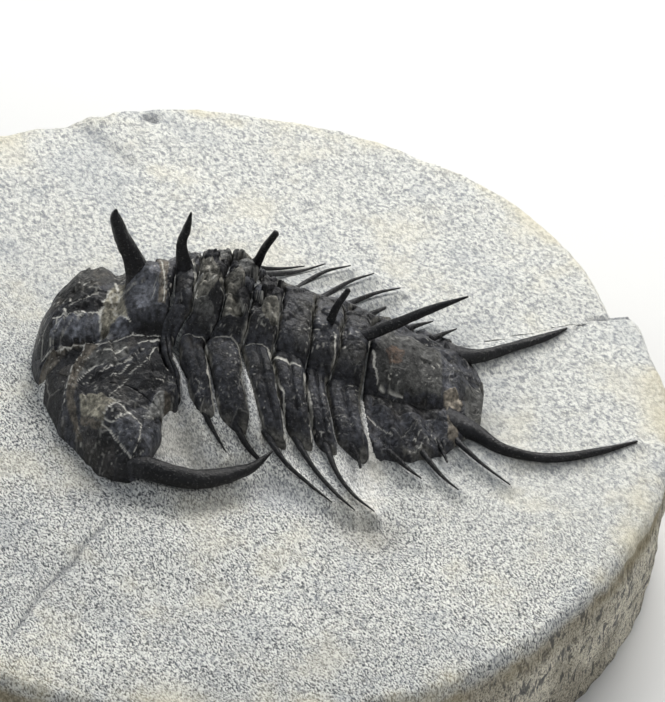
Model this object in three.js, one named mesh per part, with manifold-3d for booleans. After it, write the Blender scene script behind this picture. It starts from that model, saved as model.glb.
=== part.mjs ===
// A fossil trilobite of the genus Dorypyge, lying on the round block of limestone it was dug out of.
// Millimetres, +Z up. The animal's head points along -X and its tail along +X; the origin is in the
// middle of the block's flat underside. Each plate of the shell is a solid of its own: the middle of
// the head with its raised glabella, the two free cheeks, seven thoracic segments and the tail shield.
import * as THREE from 'three';
import { mergeVertices } from 'three/addons/utils/BufferGeometryUtils.js';
import Module from 'manifold-3d';

const wasm = await Module();
wasm.setup();

// Driving dimensions of the block
const BLOCK_RADIUS = 42;
const BLOCK_TOP = 14;
const BLOCK_SIDES = 48;
const RIM_RISE = 0.5;
const MOUND_HEIGHT = 5.5;
const MOUND_X = 3;
const MOUND_LENGTH = 18;
const MOUND_WIDTH = 9;

// Driving dimensions of the animal; heights are above the top of the block
const MIDLINE_Y = 2;
const HEAD_FRONT = -17;
const HEAD_REAR = -4.6;
const TAIL_FRONT = 13.6;
const TAIL_REAR = 24.4;
const SEGMENT_EDGES = [-4.4, -2.5, 0, 2.6, 5.2, 8.2, 10.8, 13.4];
const SEAM = 0.3;
const FLOOR_GAP = 0.5;
const SHELL_EDGE = 0.6;

// The raised lobe along the middle: x, half width, height of the furrow beside it, height of its crest
const AXIS = [
  [-17.0, 2.0, 1.2, 1.7],
  [-16.4, 3.4, 2.6, 4.6],
  [-15.4, 4.3, 3.9, 7.3],
  [-13.6, 4.8, 5.0, 9.1],
  [-11.6, 4.9, 5.8, 9.3],
  [-9.9, 4.5, 6.7, 8.9],
  [-9.4, 4.4, 7.0, 8.0],
  [-8.4, 4.5, 7.4, 10.3],
  [-5.6, 4.6, 7.9, 11.4],
  [-3.4, 4.7, 7.9, 12.5],
  [-1.2, 4.7, 8.3, 13.1],
  [1.3, 4.7, 8.6, 12.4],
  [4.0, 4.5, 8.2, 10.9],
  [6.8, 4.2, 7.2, 9.8],
  [9.6, 4.2, 5.8, 8.9],
  [12.2, 4.2, 4.9, 7.9],
  [15.6, 3.9, 4.2, 6.5],
  [19.3, 3.3, 3.2, 5.0],
  [21.5, 2.4, 2.6, 3.9],
  [22.6, 1.3, 2.2, 2.7],
  [24.4, 0.8, 1.4, 1.5],
];

// The margin of the head and of the tail shield: x, half width
const HEAD_MARGIN = [
  [-17.0, 2.2], [-16.4, 4.4], [-15.4, 6.6], [-14.0, 9.4], [-13.0, 11.3], [-11.4, 12.6],
  [-10.0, 14.3], [-8.6, 15.9], [-7.0, 16.7], [-5.6, 16.6], [-4.6, 16.0],
];
const TAIL_MARGIN = [
  [13.6, 9.6], [16.0, 9.7], [18.0, 9.4], [20.0, 8.8], [21.5, 7.7], [22.8, 6.1], [23.7, 4.4],
  [24.2, 2.9], [24.4, 2.2],
];
// The seam where each free cheek parts from the middle of the head: x, distance from the midline
const CHEEK_SEAM = [
  [-17.0, 2.2], [-16.4, 4.4], [-15.4, 5.9], [-14.0, 6.8], [-12.4, 8.0], [-10.8, 9.8], [-9.4, 9.6],
  [-7.6, 10.2], [-4.6, 12.0],
];
// Where the head's faces are divided along its length
const HEAD_ROWS = [
  -17, -16.6, -15.9, -15, -13.8, -12.4, -11.2, -10.2, -9.4, -8.6, -7.4, -6.2, -5.2, HEAD_REAR,
];
const HEAD_EDGE = 1.1;
const TAIL_EDGE = 1.3;
const FAR_CHEEK_WIDTH = 0.88;

// The thoracic segments, front to back: half width, height at the tips of the pleurae
const PLEURAE = [
  [9.6, 4.9], [11.5, 4.5], [11.2, 4.1], [12.2, 3.3], [11.6, 2.9], [11.1, 2.5], [10.3, 2.1],
];
// The pleurae sweep back by this much over this length, from this far out
const PLEURA_SWEEP = 2.4;
const PLEURA_LENGTH = 7;
const LOBE_SIDE = 4.4;

const SHELL = new THREE.Color(0x2c2e33);
const STONE = new THREE.Color(0xcfcfc9);

// Value at x between the stations of a list, by straight lines
function along(stations, x, column = 1) {
  const last = stations.length - 1;
  if (x <= stations[0][0]) return stations[0][column];
  if (x >= stations[last][0]) return stations[last][column];
  const i = stations.findIndex((station) => station[0] >= x);
  const a = stations[i - 1];
  const b = stations[i];
  return THREE.MathUtils.mapLinear(x, a[0], b[0], a[column], b[column]);
}

const lobeWidth = (x) => along(AXIS, x, 1);
const furrowHeight = (x) => along(AXIS, x, 2);
const crestHeight = (x) => along(AXIS, x, 3);

// Height of the stone above the block's top plane: a low mound that carries the animal, and a rim
// that stands a little above the shallow trough round it
function stoneHeight(x, y) {
  const out = Math.hypot(x, y) / BLOCK_RADIUS;
  const trough = RIM_RISE * THREE.MathUtils.smoothstep(out, 0.6, 0.9);
  const fromMiddle = ((x - MOUND_X) / MOUND_LENGTH) ** 2 + ((y - MIDLINE_Y) / MOUND_WIDTH) ** 2;
  return trough + MOUND_HEIGHT * Math.max(0, 1 - fromMiddle) ** 2;
}

// Radius of the rim by direction: nearly round, chipped flat with a step beside the tail on the far side
function rimRadius(angle) {
  const degrees = THREE.MathUtils.radToDeg(angle);
  const wander = 0.35 * Math.sin(3 * angle + 0.6) + 0.25 * Math.sin(7 * angle + 2);
  const chip = degrees > 27 && degrees < 60 ? 1.9 * (60 - degrees) / 33 : 0;
  return BLOCK_RADIUS - 0.4 + wander - chip;
}

// Positions only, with shared corners merged and empty triangles dropped
function weld(geometry) {
  const bare = new THREE.BufferGeometry();
  bare.setAttribute('position', geometry.getAttribute('position'));
  bare.setIndex(geometry.getIndex());
  const merged = mergeVertices(bare, 1e-4);
  const index = merged.getIndex().array;
  const kept = [];
  for (let i = 0; i < index.length; i += 3) {
    const [a, b, c] = [index[i], index[i + 1], index[i + 2]];
    if (a !== b && b !== c && c !== a) kept.push(a, b, c);
  }
  merged.setIndex(kept);
  return merged;
}

function toSolid(geometry) {
  const welded = weld(geometry);
  return new wasm.Manifold(new wasm.Mesh({
    numProp: 3,
    vertProperties: new Float32Array(welded.getAttribute('position').array),
    triVerts: new Uint32Array(welded.getIndex().array),
  }));
}

function toGeometry(solid) {
  const mesh = solid.getMesh();
  const geometry = new THREE.BufferGeometry();
  geometry.setAttribute('position', new THREE.BufferAttribute(mesh.vertProperties, 3));
  geometry.setIndex(new THREE.BufferAttribute(mesh.triVerts, 1));
  return geometry;
}

// A curved plate: a box with many faces, whose upper and lower sides are laid on two surfaces.
// along and across run from 0 to 1; place gives x and y, and topHeight gives the upper side
function plate(stepsAlong, stepsAcross, place, topHeight) {
  const box = new THREE.BoxGeometry(1, 1, 1, stepsAlong, stepsAcross, 1);
  const position = box.getAttribute('position');
  for (let i = 0; i < position.count; i += 1) {
    const u = position.getX(i) + 0.5;
    const v = position.getY(i) + 0.5;
    const [x, y] = place(u, v);
    const floor = stoneHeight(x, y) + FLOOR_GAP;
    const top = Math.max(topHeight(u, v, x, y), floor + SHELL_EDGE);
    const height = position.getZ(i) > 0 ? top : floor;
    position.setXYZ(i, x, y, BLOCK_TOP + height);
  }
  return toSolid(box);
}

// A spine: a tapering rod with its section carried along a smooth curve through the points,
// each given as x, y, height and radius
function spine(points, sides = 5, steps = 5) {
  const curve = new THREE.CatmullRomCurve3(
    points.map(([x, y, z]) => new THREE.Vector3(x, y, BLOCK_TOP + z)));
  const rod = new THREE.CylinderGeometry(1, 1, 1, sides, steps);
  const position = rod.getAttribute('position');
  const up = new THREE.Vector3(0, 0, 1);
  const sideways = new THREE.Vector3(0, 1, 0);
  for (let i = 0; i < position.count; i += 1) {
    const t = position.getY(i) + 0.5;
    const centre = curve.getPoint(t);
    const forward = curve.getTangent(t);
    const guide = Math.abs(forward.z) > 0.8 ? sideways : up;
    const right = new THREE.Vector3().crossVectors(guide, forward).normalize();
    const over = new THREE.Vector3().crossVectors(forward, right);
    const place = t * (points.length - 1);
    const low = Math.min(points.length - 2, Math.floor(place));
    const radius = THREE.MathUtils.lerp(points[low][3], points[low + 1][3], place - low);
    centre.addScaledVector(over, position.getX(i) * radius);
    centre.addScaledVector(right, position.getZ(i) * radius);
    position.setXYZ(i, centre.x, centre.y, centre.z);
  }
  return toSolid(rod);
}

const withSpines = (body, spines) => spines.reduce((sum, rod) => sum.add(spine(rod)), body);

// Height of the raised lobe at a distance from the midline, for a lobe of this width
function lobeHeight(x, side, width) {
  const furrow = furrowHeight(x);
  return furrow + (crestHeight(x) - furrow) * Math.sqrt(Math.max(0, 1 - (side / width) ** 2));
}

// Distance from the midline for across = 0 to 1: the lobe takes the middle share of the steps
function sideways(across, lobe, edge) {
  const LOBE_SHARE = 0.42;
  const t = Math.abs(2 * across - 1);
  const side = t < LOBE_SHARE
    ? lobe * Math.sin((t / LOBE_SHARE) * Math.PI / 2)
    : THREE.MathUtils.mapLinear(t, LOBE_SHARE, 1, lobe, edge);
  return Math.sign(2 * across - 1) * side;
}

// How far back the side fields of the thorax and tail are swept at a distance from the midline
function sweptBack(side) {
  return PLEURA_SWEEP * (Math.max(0, Math.abs(side) - LOBE_SIDE) / PLEURA_LENGTH) ** 1.5;
}

// Height of the side fields of the shell, which arch down from the furrow to the margin
function fieldHeight(x, side, lobe, edge, edgeHeight) {
  const out = THREE.MathUtils.clamp((side - lobe) / (edge - lobe), 0, 1);
  return edgeHeight + (furrowHeight(x) - edgeHeight) * (1 - out ** 1.9);
}

// Height of the head: the glabella and the ring behind it in the middle, cheeks arched down outside
function headHeight(x, side, margin) {
  const lobe = lobeWidth(x);
  const edge = Math.max(margin, lobe + 1);
  const fade = THREE.MathUtils.smoothstep(x, HEAD_FRONT, HEAD_FRONT + 2.4);
  const field = HEAD_EDGE + (fieldHeight(x, side, lobe, edge, HEAD_EDGE) - HEAD_EDGE) * fade;
  return side < lobe ? lobeHeight(x, side, lobe) : field;
}

// A low swelling on each cheek for the eye
function eyeSwelling(x, side) {
  return 0.8 * Math.exp(-(((x + 10.6) / 1.3) ** 2) - (((side - 10.4) / 1.2) ** 2));
}

// The middle of the head, with its tall spine on the ring at the back
function cranidium() {
  const rows = HEAD_ROWS;
  const place = (u, v) => {
    const x = rows[Math.round(u * (rows.length - 1))];
    const edge = Math.max(along(CHEEK_SEAM, x) - SEAM / 2, lobeWidth(x) + 0.2);
    return [x, MIDLINE_Y + sideways(v, lobeWidth(x), edge)];
  };
  const top = (u, v, x, y) => {
    const side = Math.abs(y - MIDLINE_Y);
    return headHeight(x, side, along(HEAD_MARGIN, x)) + eyeSwelling(x, side);
  };
  return withSpines(plate(rows.length - 1, 22, place, top), [
    [[-7.5, 2, 8.9, 1.7], [-8.4, 2, 12.0, 0.95], [-9.5, 2, 14.6, 0.6], [-10.2, 2, 17.6, 0.12]],
  ]);
}

// A free cheek with its spine at the rear corner; side is -1 for the animal's left and 1 for its right
function freeCheek(side, width, spinePoints) {
  const rows = HEAD_ROWS.slice(3);
  const margin = (x) => along(HEAD_MARGIN, x) * width;
  const place = (u, v) => {
    const x = rows[Math.round(u * (rows.length - 1))];
    const inner = along(CHEEK_SEAM, x) + SEAM / 2;
    const outer = Math.max(margin(x), inner + 0.5);
    const across = side > 0 ? v : 1 - v;
    return [x, MIDLINE_Y + side * THREE.MathUtils.lerp(inner, outer, across)];
  };
  const top = (u, v, x, y) => {
    const out = Math.abs(y - MIDLINE_Y);
    return headHeight(x, out, margin(x)) + eyeSwelling(x, out);
  };
  return withSpines(plate(rows.length - 1, 5, place, top), [spinePoints]);
}

const LEFT_CHEEK_SPINE = [
  [-6.2, -12.9, 2.2, 1.5], [-4.0, -14.0, 2.1, 1.15], [-1.9, -14.6, 2.0, 0.95], [0.1, -14.6, 1.9, 0.85],
  [1.8, -14.0, 1.9, 0.75], [3.5, -13.2, 2.1, 0.6], [4.9, -12.4, 2.4, 0.42], [6.4, -10.9, 3.2, 0.12],
];
const RIGHT_CHEEK_SPINE = [
  [-6.2, 15.4, 2.0, 1.1], [-4.0, 15.7, 2.0, 1.0], [-1.9, 15.8, 1.8, 0.9], [0.4, 15.6, 1.6, 0.75],
  [2.6, 14.9, 1.5, 0.5], [4.4, 14.0, 1.5, 0.12],
];

// A thoracic segment: an arched ring with a pleura on either side, which has a groove along it and
// sweeps back to a spine at its tip
function segment(index, spines) {
  const [edge, tip] = PLEURAE[index];
  const front = SEGMENT_EDGES[index] + SEAM / 2;
  const back = SEGMENT_EDGES[index + 1] - SEAM / 2;
  const middle = (front + back) / 2;
  const lobe = lobeWidth(middle);
  const sweep = index === 0 ? 0.1 : 1;
  const place = (u, v) => {
    const side = sideways(v, lobe, edge);
    const share = 1 - 0.4 * THREE.MathUtils.clamp((Math.abs(side) - lobe) / (edge - lobe), 0, 1) ** 3;
    return [middle + (u - 0.5) * (back - front) * share + sweep * sweptBack(side), MIDLINE_Y + side];
  };
  const top = (u, v, x, y) => {
    const side = Math.abs(y - MIDLINE_Y);
    const arch = Math.sin(Math.PI * u);
    if (side < lobe) return lobeHeight(middle, side, lobe) + 0.5 * arch - 0.4;
    const groove = Math.exp(-(((u - 0.5) / 0.16) ** 2)) * 0.45;
    return fieldHeight(middle, side, lobe, edge, tip) + 0.55 * arch - groove - 0.3;
  };
  return withSpines(plate(4, 18, place, top), spines);
}

// Spines of the thoracic segments, front to back: those on the ring first, then left and right tips.
// Some are broken short, as on the real animal
const SEGMENT_SPINES = [
  [
    [[-3.5, 2, 10.8, 1.2], [-4.2, 2, 14.2, 0.6], [-3.9, 2, 16.4, 0.45], [-3.6, 2, 18.4, 0.12]],
  ],
  [
    [[0.3, -8.6, 4.4, 0.45], [1.0, -9.8, 3.6, 0.3], [2.3, -10.9, 2.4, 0.1]],
    [[1.0, 12.6, 4.4, 0.45], [3.4, 15.0, 2.6, 0.3], [6.0, 17.7, 1.2, 0.1]],
  ],
  [
    [[1.6, 3.2, 10.5, 0.75], [2.4, 3.1, 13.0, 0.5], [3.1, 3.0, 14.9, 0.45], [4.0, 2.9, 16.7, 0.35]],
    [[2.6, -8.4, 4.0, 0.55], [3.8, -9.9, 3.0, 0.45], [5.4, -10.9, 1.9, 0.3], [6.9, -11.4, 1.1, 0.1]],
    [[3.0, 12.4, 4.0, 0.45], [5.3, 15.4, 2.2, 0.3], [7.9, 18.6, 1.1, 0.1]],
  ],
  [
    [[3.7, 1.0, 9.4, 0.55], [3.5, 0.9, 11.0, 0.4], [3.6, 0.8, 12.3, 0.3]],
    [[5.9, -9.4, 3.4, 0.5], [7.6, -11.2, 2.5, 0.35], [9.9, -12.6, 1.6, 0.28], [12.3, -13.9, 0.9, 0.1]],
    [[5.6, 13.4, 3.2, 0.45], [7.8, 16.2, 1.9, 0.3], [10.3, 19.0, 1.0, 0.1]],
  ],
  [
    [[8.3, -8.7, 3.0, 0.5], [10.1, -10.9, 2.1, 0.35], [12.4, -13.0, 1.3, 0.28], [14.4, -14.5, 0.9, 0.1]],
    [[8.3, 12.8, 2.9, 0.45], [10.4, 15.5, 1.8, 0.3], [12.6, 18.3, 1.0, 0.1]],
  ],
  [
    [[9.6, 1.2, 8.2, 0.5], [10.1, 1.4, 10.2, 0.42], [11.0, 2, 12.1, 0.3]],
    [[10.9, -8.3, 2.7, 0.5], [12.2, -10.8, 1.9, 0.35], [14.0, -12.9, 1.3, 0.28], [16.1, -14.3, 0.9, 0.1]],
    [[10.8, 12.3, 2.5, 0.45], [13.0, 14.6, 1.6, 0.3], [15.3, 16.7, 1.0, 0.1]],
  ],
  [
    [[12.0, 1.4, 6.9, 0.8], [14.1, 1.7, 8.1, 0.65], [16.4, 2, 9.5, 0.55], [18.9, 2, 11.4, 0.42],
      [21.7, 2, 13.2, 0.1]],
    [[13.4, -7.8, 2.2, 0.5], [14.0, -8.8, 1.8, 0.32], [14.3, -9.6, 1.5, 0.2]],
    [[13.2, 11.6, 2.2, 0.45], [14.2, 12.9, 1.7, 0.25]],
  ],
];

// The tail shield: the lobe tapers towards the rear, and low ribs sweep back across the side fields
function tailShield() {
  const rows = 14;
  const place = (u, v) => {
    const x = THREE.MathUtils.lerp(TAIL_FRONT, TAIL_REAR, u);
    const margin = along(TAIL_MARGIN, x);
    const side = sideways(v, Math.min(lobeWidth(x), margin - 0.6), margin);
    return [x + sweptBack(side) * (1 - u) ** 2, MIDLINE_Y + side];
  };
  const top = (u, v, x, y) => {
    const side = Math.abs(y - MIDLINE_Y);
    const lobe = lobeWidth(x);
    const margin = along(TAIL_MARGIN, x);
    const closeToEnd = 1 - THREE.MathUtils.smoothstep(x, TAIL_REAR - 1.8, TAIL_REAR);
    const ring = 0.2 * Math.cos((x - TAIL_FRONT - 1.2) * 2.6);
    if (side < lobe) return TAIL_EDGE + (lobeHeight(x, side, lobe) + ring - TAIL_EDGE) * closeToEnd;
    const rib = 0.28 * Math.cos((x - 0.45 * (side - lobe) - TAIL_FRONT - 1.0) * 2.4);
    const out = THREE.MathUtils.clamp((side - lobe) / (margin - lobe), 0, 1);
    const field = fieldHeight(x, side, lobe, margin, TAIL_EDGE) + rib * Math.sin(Math.PI * out);
    return TAIL_EDGE + (field - TAIL_EDGE) * closeToEnd;
  };
  return withSpines(plate(rows, 20, place, top), [
    [[16.6, -6.9, 1.6, 0.5], [18.2, -8.2, 1.2, 0.35], [19.8, -9.2, 0.9, 0.1]],
    [[19.4, -6.1, 1.5, 0.5], [21.4, -8.5, 1.1, 0.3], [23.2, -10.0, 0.9, 0.1]],
    [[21.0, -5.0, 1.4, 0.4], [21.9, -6.7, 1.0, 0.15]],
    [[22.3, -3.9, 1.4, 0.5], [24.8, -6.2, 1.1, 0.28], [27.7, -8.4, 0.9, 0.1]],
    [[21.8, -2.0, 1.5, 1.2], [24.0, -2.5, 1.3, 0.75], [26.4, -3.9, 1.1, 0.5], [29.2, -4.5, 1.1, 0.42],
      [32.0, -4.1, 1.1, 0.4], [35.4, -2.5, 1.1, 0.32], [38.7, -0.5, 1.1, 0.1]],
    [[17.0, 10.6, 1.6, 0.45], [18.8, 12.5, 1.0, 0.1]],
    [[19.4, 9.8, 1.5, 0.45], [21.1, 11.9, 1.0, 0.1]],
    [[21.2, 7.4, 1.5, 1.0], [23.6, 8.3, 1.2, 0.6], [26.4, 10.2, 1.1, 0.45], [29.4, 12.3, 1.1, 0.35],
      [31.3, 14.0, 1.1, 0.1]],
  ]);
}

// The block: a disc turned from a profile, then given its mound, trough and uneven rim
function block() {
  const rings = [0, 2.6, 5, 7.4, 9.8, 12.2, 14.6, 17, 19.5, 22, 24.5, 28, 32.5, 37, 40.6];
  const bevel = 1.2;
  const profile = rings.map((radius) => new THREE.Vector2(radius, BLOCK_TOP));
  profile.push(new THREE.Vector2(BLOCK_RADIUS, BLOCK_TOP - bevel));
  profile.push(new THREE.Vector2(BLOCK_RADIUS, BLOCK_TOP / 2));
  profile.push(new THREE.Vector2(BLOCK_RADIUS, 0));
  profile.push(new THREE.Vector2(0, 0));
  const disc = new THREE.LatheGeometry(profile.reverse(), BLOCK_SIDES);
  disc.rotateX(Math.PI / 2);
  const position = disc.getAttribute('position');
  for (let i = 0; i < position.count; i += 1) {
    const radius = Math.hypot(position.getX(i), position.getY(i));
    const angle = Math.atan2(position.getY(i), position.getX(i));
    const height = position.getZ(i);
    const stretch = radius > rings[12] ? rimRadius(angle) / BLOCK_RADIUS : 1;
    const x = position.getX(i) * stretch;
    const y = position.getY(i) * stretch;
    const raised = height > BLOCK_TOP - 0.01 ? stoneHeight(x, y) : 0;
    position.setXYZ(i, x, y, height + raised);
  }
  return toSolid(disc);
}

const trilobite = new THREE.Group();

function addPiece(name, solid, color, roughness) {
  const material = new THREE.MeshStandardMaterial({ color, roughness, metalness: 0 });
  const mesh = new THREE.Mesh(toGeometry(solid), material);
  mesh.name = name;
  trilobite.add(mesh);
}

addPiece('matrix', block(), STONE, 0.9);
addPiece('cranidium', cranidium(), SHELL, 0.45);
addPiece('left_free_cheek', freeCheek(-1, 1, LEFT_CHEEK_SPINE), SHELL, 0.45);
addPiece('right_free_cheek', freeCheek(1, FAR_CHEEK_WIDTH, RIGHT_CHEEK_SPINE), SHELL, 0.45);
SEGMENT_SPINES.forEach((spines, index) => {
  addPiece(`thoracic_segment_${index + 1}`, segment(index, spines), SHELL, 0.45);
});
addPiece('pygidium', tailShield(), SHELL, 0.45);

export default trilobite;
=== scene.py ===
"""A spiny trilobite on the round block of limestone it was dug out of: black calcite shell whose spines
stand free. In the tables x and y are millimetres from the middle of the block and heights are
millimetres above its top; the head points along -X and the animal's left side faces the camera."""
import math
import bpy
import numpy as np
from mathutils import Matrix, Vector


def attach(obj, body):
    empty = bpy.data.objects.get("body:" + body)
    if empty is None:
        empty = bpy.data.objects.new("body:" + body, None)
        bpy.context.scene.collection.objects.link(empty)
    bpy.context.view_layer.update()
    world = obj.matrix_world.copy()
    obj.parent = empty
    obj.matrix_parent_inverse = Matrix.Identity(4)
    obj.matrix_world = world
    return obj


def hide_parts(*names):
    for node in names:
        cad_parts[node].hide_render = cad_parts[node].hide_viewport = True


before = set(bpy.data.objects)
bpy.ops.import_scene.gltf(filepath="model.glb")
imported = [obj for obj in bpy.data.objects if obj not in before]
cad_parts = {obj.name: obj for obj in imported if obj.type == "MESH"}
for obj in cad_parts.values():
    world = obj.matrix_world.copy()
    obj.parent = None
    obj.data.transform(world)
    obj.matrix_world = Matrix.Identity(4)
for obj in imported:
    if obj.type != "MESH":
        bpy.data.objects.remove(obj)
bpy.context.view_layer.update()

# Camera, floor and light
# The block lies on a plain pale table and is seen from 41 degrees above, over the animal's left side.
# A large soft lamp behind it rakes over the pecked stone, and two weaker ones open up the shadows.
camera = bpy.data.objects.new("camera", bpy.data.cameras.new("camera"))
bpy.context.scene.collection.objects.link(camera)
bpy.context.scene.camera = camera
camera.data.sensor_fit = "HORIZONTAL"
camera.data.sensor_width = 36
camera.data.lens = 200
camera.matrix_world = Matrix(((0.99005, -0.13710, 0.03178, 0.02086),
                              (0.11326, 0.64210, -0.75821, -0.25244),
                              (0.08355, 0.75426, 0.65123, 0.23722),
                              (0, 0, 0, 1)))


def soft_lamp(name, place, aim, size, watts, colour):
    """A square lamp at a place, turned towards the point it lights"""
    lamp = bpy.data.objects.new(name, bpy.data.lights.new(name, "AREA"))
    lamp.data.size = size
    lamp.data.energy = watts
    lamp.data.color = colour
    lamp.location = place
    forward = aim[0] - place[0], aim[1] - place[1], aim[2] - place[2]
    lamp.rotation_euler = Vector(forward).to_track_quat("-Z", "Y").to_euler()
    bpy.context.scene.collection.objects.link(lamp)


soft_lamp("lamp_behind", (0.05, 0.25, 0.30), (0, 0, 0.01), 0.22, 1.75, (1.0, 0.985, 0.96))
soft_lamp("lamp_left", (-0.38, 0.06, 0.34), (0, 0, 0.01), 0.30, 0.75, (0.93, 0.96, 1.0))
soft_lamp("lamp_right", (0.36, -0.26, 0.30), (0, 0, 0.01), 0.30, 0.50, (1.0, 0.98, 0.95))

world = bpy.data.worlds.new("room")
bpy.context.scene.world = world
world.use_nodes = True
world.node_tree.nodes["Background"].inputs["Color"].default_value = (0.82, 0.86, 0.92, 1)
world.node_tree.nodes["Background"].inputs["Strength"].default_value = 0.30
bpy.context.scene.view_settings.view_transform = "Standard"


def tone(red, green, blue):
    """A colour given as it looks on a screen, 0 to 255, as the light values that the shaders take"""
    return np.array([(c / 255 / 12.92) if c < 11 else ((c / 255 + 0.055) / 1.055) ** 2.4
                     for c in (red, green, blue)])


table_mesh = bpy.data.meshes.new("floor")
table_mesh.from_pydata([(-1.5, -1.5, 0), (1.5, -1.5, 0), (1.5, 1.5, 0), (-1.5, 1.5, 0)], [],
                       [(0, 1, 2, 3)])
table = bpy.data.objects.new("floor", table_mesh)
bpy.context.scene.collection.objects.link(table)
table_paint = bpy.data.materials.new("pale_table")
table_paint.use_nodes = True
table_paint.node_tree.nodes["Principled BSDF"].inputs["Base Color"].default_value = (0.68, 0.68, 0.67, 1)
table_paint.node_tree.nodes["Principled BSDF"].inputs["Roughness"].default_value = 0.85
table_mesh.materials.append(table_paint)

# Block of limestone
# Pale grey micritic limestone, trimmed to a round slab with its underside sawn flat. The top was
# pecked away round the animal with an air scribe, which left short crowded marks, a mound that
# carries the shell, and a bluish bruise of freshly cut stone close to it. The same bluish darkening
# is also laid on in soft patches towards the front of the block as painted shade.
MM = 0.001
BLOCK_RADIUS = 42.0
BLOCK_TOP = 14.0
RIM_ROUNDING = 0.9
MIDLINE_Y = 2.0
SHELL_THICKNESS = 1.1

# The raised lobe along the middle of the animal: x, half width, height of the furrow beside it, crest
AXIS = [
    (-17.0, 2.0, 1.2, 1.7), (-16.4, 3.4, 2.6, 4.6), (-15.4, 4.3, 3.9, 7.3), (-13.6, 4.8, 5.0, 9.1),
    (-11.6, 4.9, 5.8, 9.3), (-9.9, 4.5, 6.7, 8.9), (-9.4, 4.4, 7.0, 8.0), (-8.4, 4.5, 7.4, 10.3),
    (-5.6, 4.6, 7.9, 11.4), (-3.4, 4.7, 7.9, 12.5), (-1.2, 4.7, 8.3, 13.1), (1.3, 4.7, 8.6, 12.4),
    (4.0, 4.5, 8.2, 10.9), (6.8, 4.2, 7.2, 9.8), (9.6, 4.2, 5.8, 8.9), (12.2, 4.2, 4.9, 7.9),
    (15.6, 3.9, 4.2, 6.5), (19.3, 3.3, 3.2, 5.0), (21.5, 2.4, 2.6, 3.9), (22.6, 1.3, 2.2, 2.7),
    (24.4, 0.8, 1.4, 1.5),
]
# The margin of the shell: x, distance from the midline, height; the thorax runs from -4.4 to 13.6
MARGIN = [
    (-17.0, 2.2, 1.1), (-16.4, 4.4, 1.1), (-15.4, 6.6, 1.1), (-14.0, 9.4, 1.1), (-13.0, 11.3, 1.1),
    (-11.4, 12.6, 1.1), (-10.0, 14.3, 1.1), (-8.6, 15.9, 1.1), (-7.0, 16.7, 1.1), (-5.6, 16.6, 1.1),
    (-4.6, 16.0, 1.1), (-4.4, 9.6, 4.9), (-3.4, 9.6, 4.9), (-1.2, 11.5, 4.5), (1.3, 11.2, 4.1),
    (3.9, 12.2, 3.3), (6.7, 11.6, 2.9), (9.5, 11.1, 2.5), (12.1, 10.3, 2.1), (13.6, 9.6, 1.5),
    (16.0, 9.7, 1.3), (18.0, 9.4, 1.3), (20.0, 8.8, 1.3), (21.5, 7.7, 1.3), (22.8, 6.1, 1.3),
    (23.7, 4.4, 1.3), (24.2, 2.9, 1.3), (24.4, 2.2, 1.3),
]
HEAD_FRONT = -17.0
HEAD_REAR = -4.6
TAIL_FRONT = 13.6
TAIL_END = 24.5
MARGIN_HEIGHT = 1.1
RIGHT_CHEEK_WIDTH = 0.8
# The right side was pressed down into the rock, so its heights keep under a slope. These are how far
# the slope falls for each millimetre to the right, and its heights over the midline, by x
RIGHT_FALL = 0.83
RIGHT_SLOPE = [
    (-17.0, 3.0), (-16.1, 4.6), (-15.1, 6.9), (-14.0, 8.5), (-13.5, 9.6), (-12.3, 10.6), (-11.0, 10.8),
    (-9.7, 9.3), (-8.6, 11.2), (-7.6, 12.0), (-5.2, 12.6), (-3.9, 14.1), (-2.3, 14.7), (-0.1, 15.1),
    (1.5, 14.2), (2.6, 13.8), (3.4, 12.8), (3.9, 12.1), (5.4, 11.7), (7.1, 11.4), (8.8, 11.0), (10.5, 10.8),
    (11.9, 10.4), (13.7, 9.4), (16.0, 8.8), (17.4, 8.0), (19.2, 7.3), (20.6, 6.8), (21.8, 6.1), (23.1, 4.3),
    (23.8, 2.8), (24.4, 1.8),
]


def ease(value, low, high):
    """0 below low, 1 above high, and a smooth change between them"""
    t = np.clip((np.asarray(value, float) - low) / (high - low), 0, 1)
    return t * t * (3 - 2 * t)


def along(stations, x, column=1):
    """Value at x between the stations of a table, with its corners rounded over half a millimetre"""
    table = np.array(stations, float)
    return sum(np.interp(x + shift, table[:, 0], table[:, column]) for shift in (-0.3, 0, 0.3)) / 3


def chance(i, j, seed):
    """A settled random number from 0 to 1 for each whole-numbered cell"""
    mixed = (i * 374761393 + j * 668265263 + seed * 974711) & 0xFFFFFFFF
    mixed = ((mixed ^ (mixed >> 13)) * 1274126177) & 0xFFFFFFFF
    return ((mixed ^ (mixed >> 16)) & 0xFFFFFF) / 0xFFFFFF


def lumps(x, y, size, seed):
    """Soft random swells from -1 to 1, about this many millimetres from one to the next"""
    px, py = np.asarray(x, float) / size, np.asarray(y, float) / size
    i, j = np.floor(px).astype(np.int64), np.floor(py).astype(np.int64)
    fx, fy = ease(px - i, 0, 1), ease(py - j, 0, 1)
    near = chance(i, j, seed) * (1 - fx) + chance(i + 1, j, seed) * fx
    far = chance(i, j + 1, seed) * (1 - fx) + chance(i + 1, j + 1, seed) * fx
    return (near * (1 - fy) + far * fy) * 2 - 1


def patchy(x, y, size, seed, low, high):
    """1 where the swells are over high, 0 where they are under low"""
    return ease(lumps(x, y, size, seed), low, high)


def reach(x, y, line):
    """Distance in millimetres from each point to the nearest part of a line"""
    nearest = np.full(np.shape(x), 1e6)
    for (ax, ay), (bx, by) in zip(line, line[1:]):
        dx, dy = bx - ax, by - ay
        t = np.clip(((x - ax) * dx + (y - ay) * dy) / (dx * dx + dy * dy + 1e-9), 0, 1)
        nearest = np.minimum(nearest, np.hypot(x - ax - t * dx, y - ay - t * dy))
    return nearest


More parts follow.
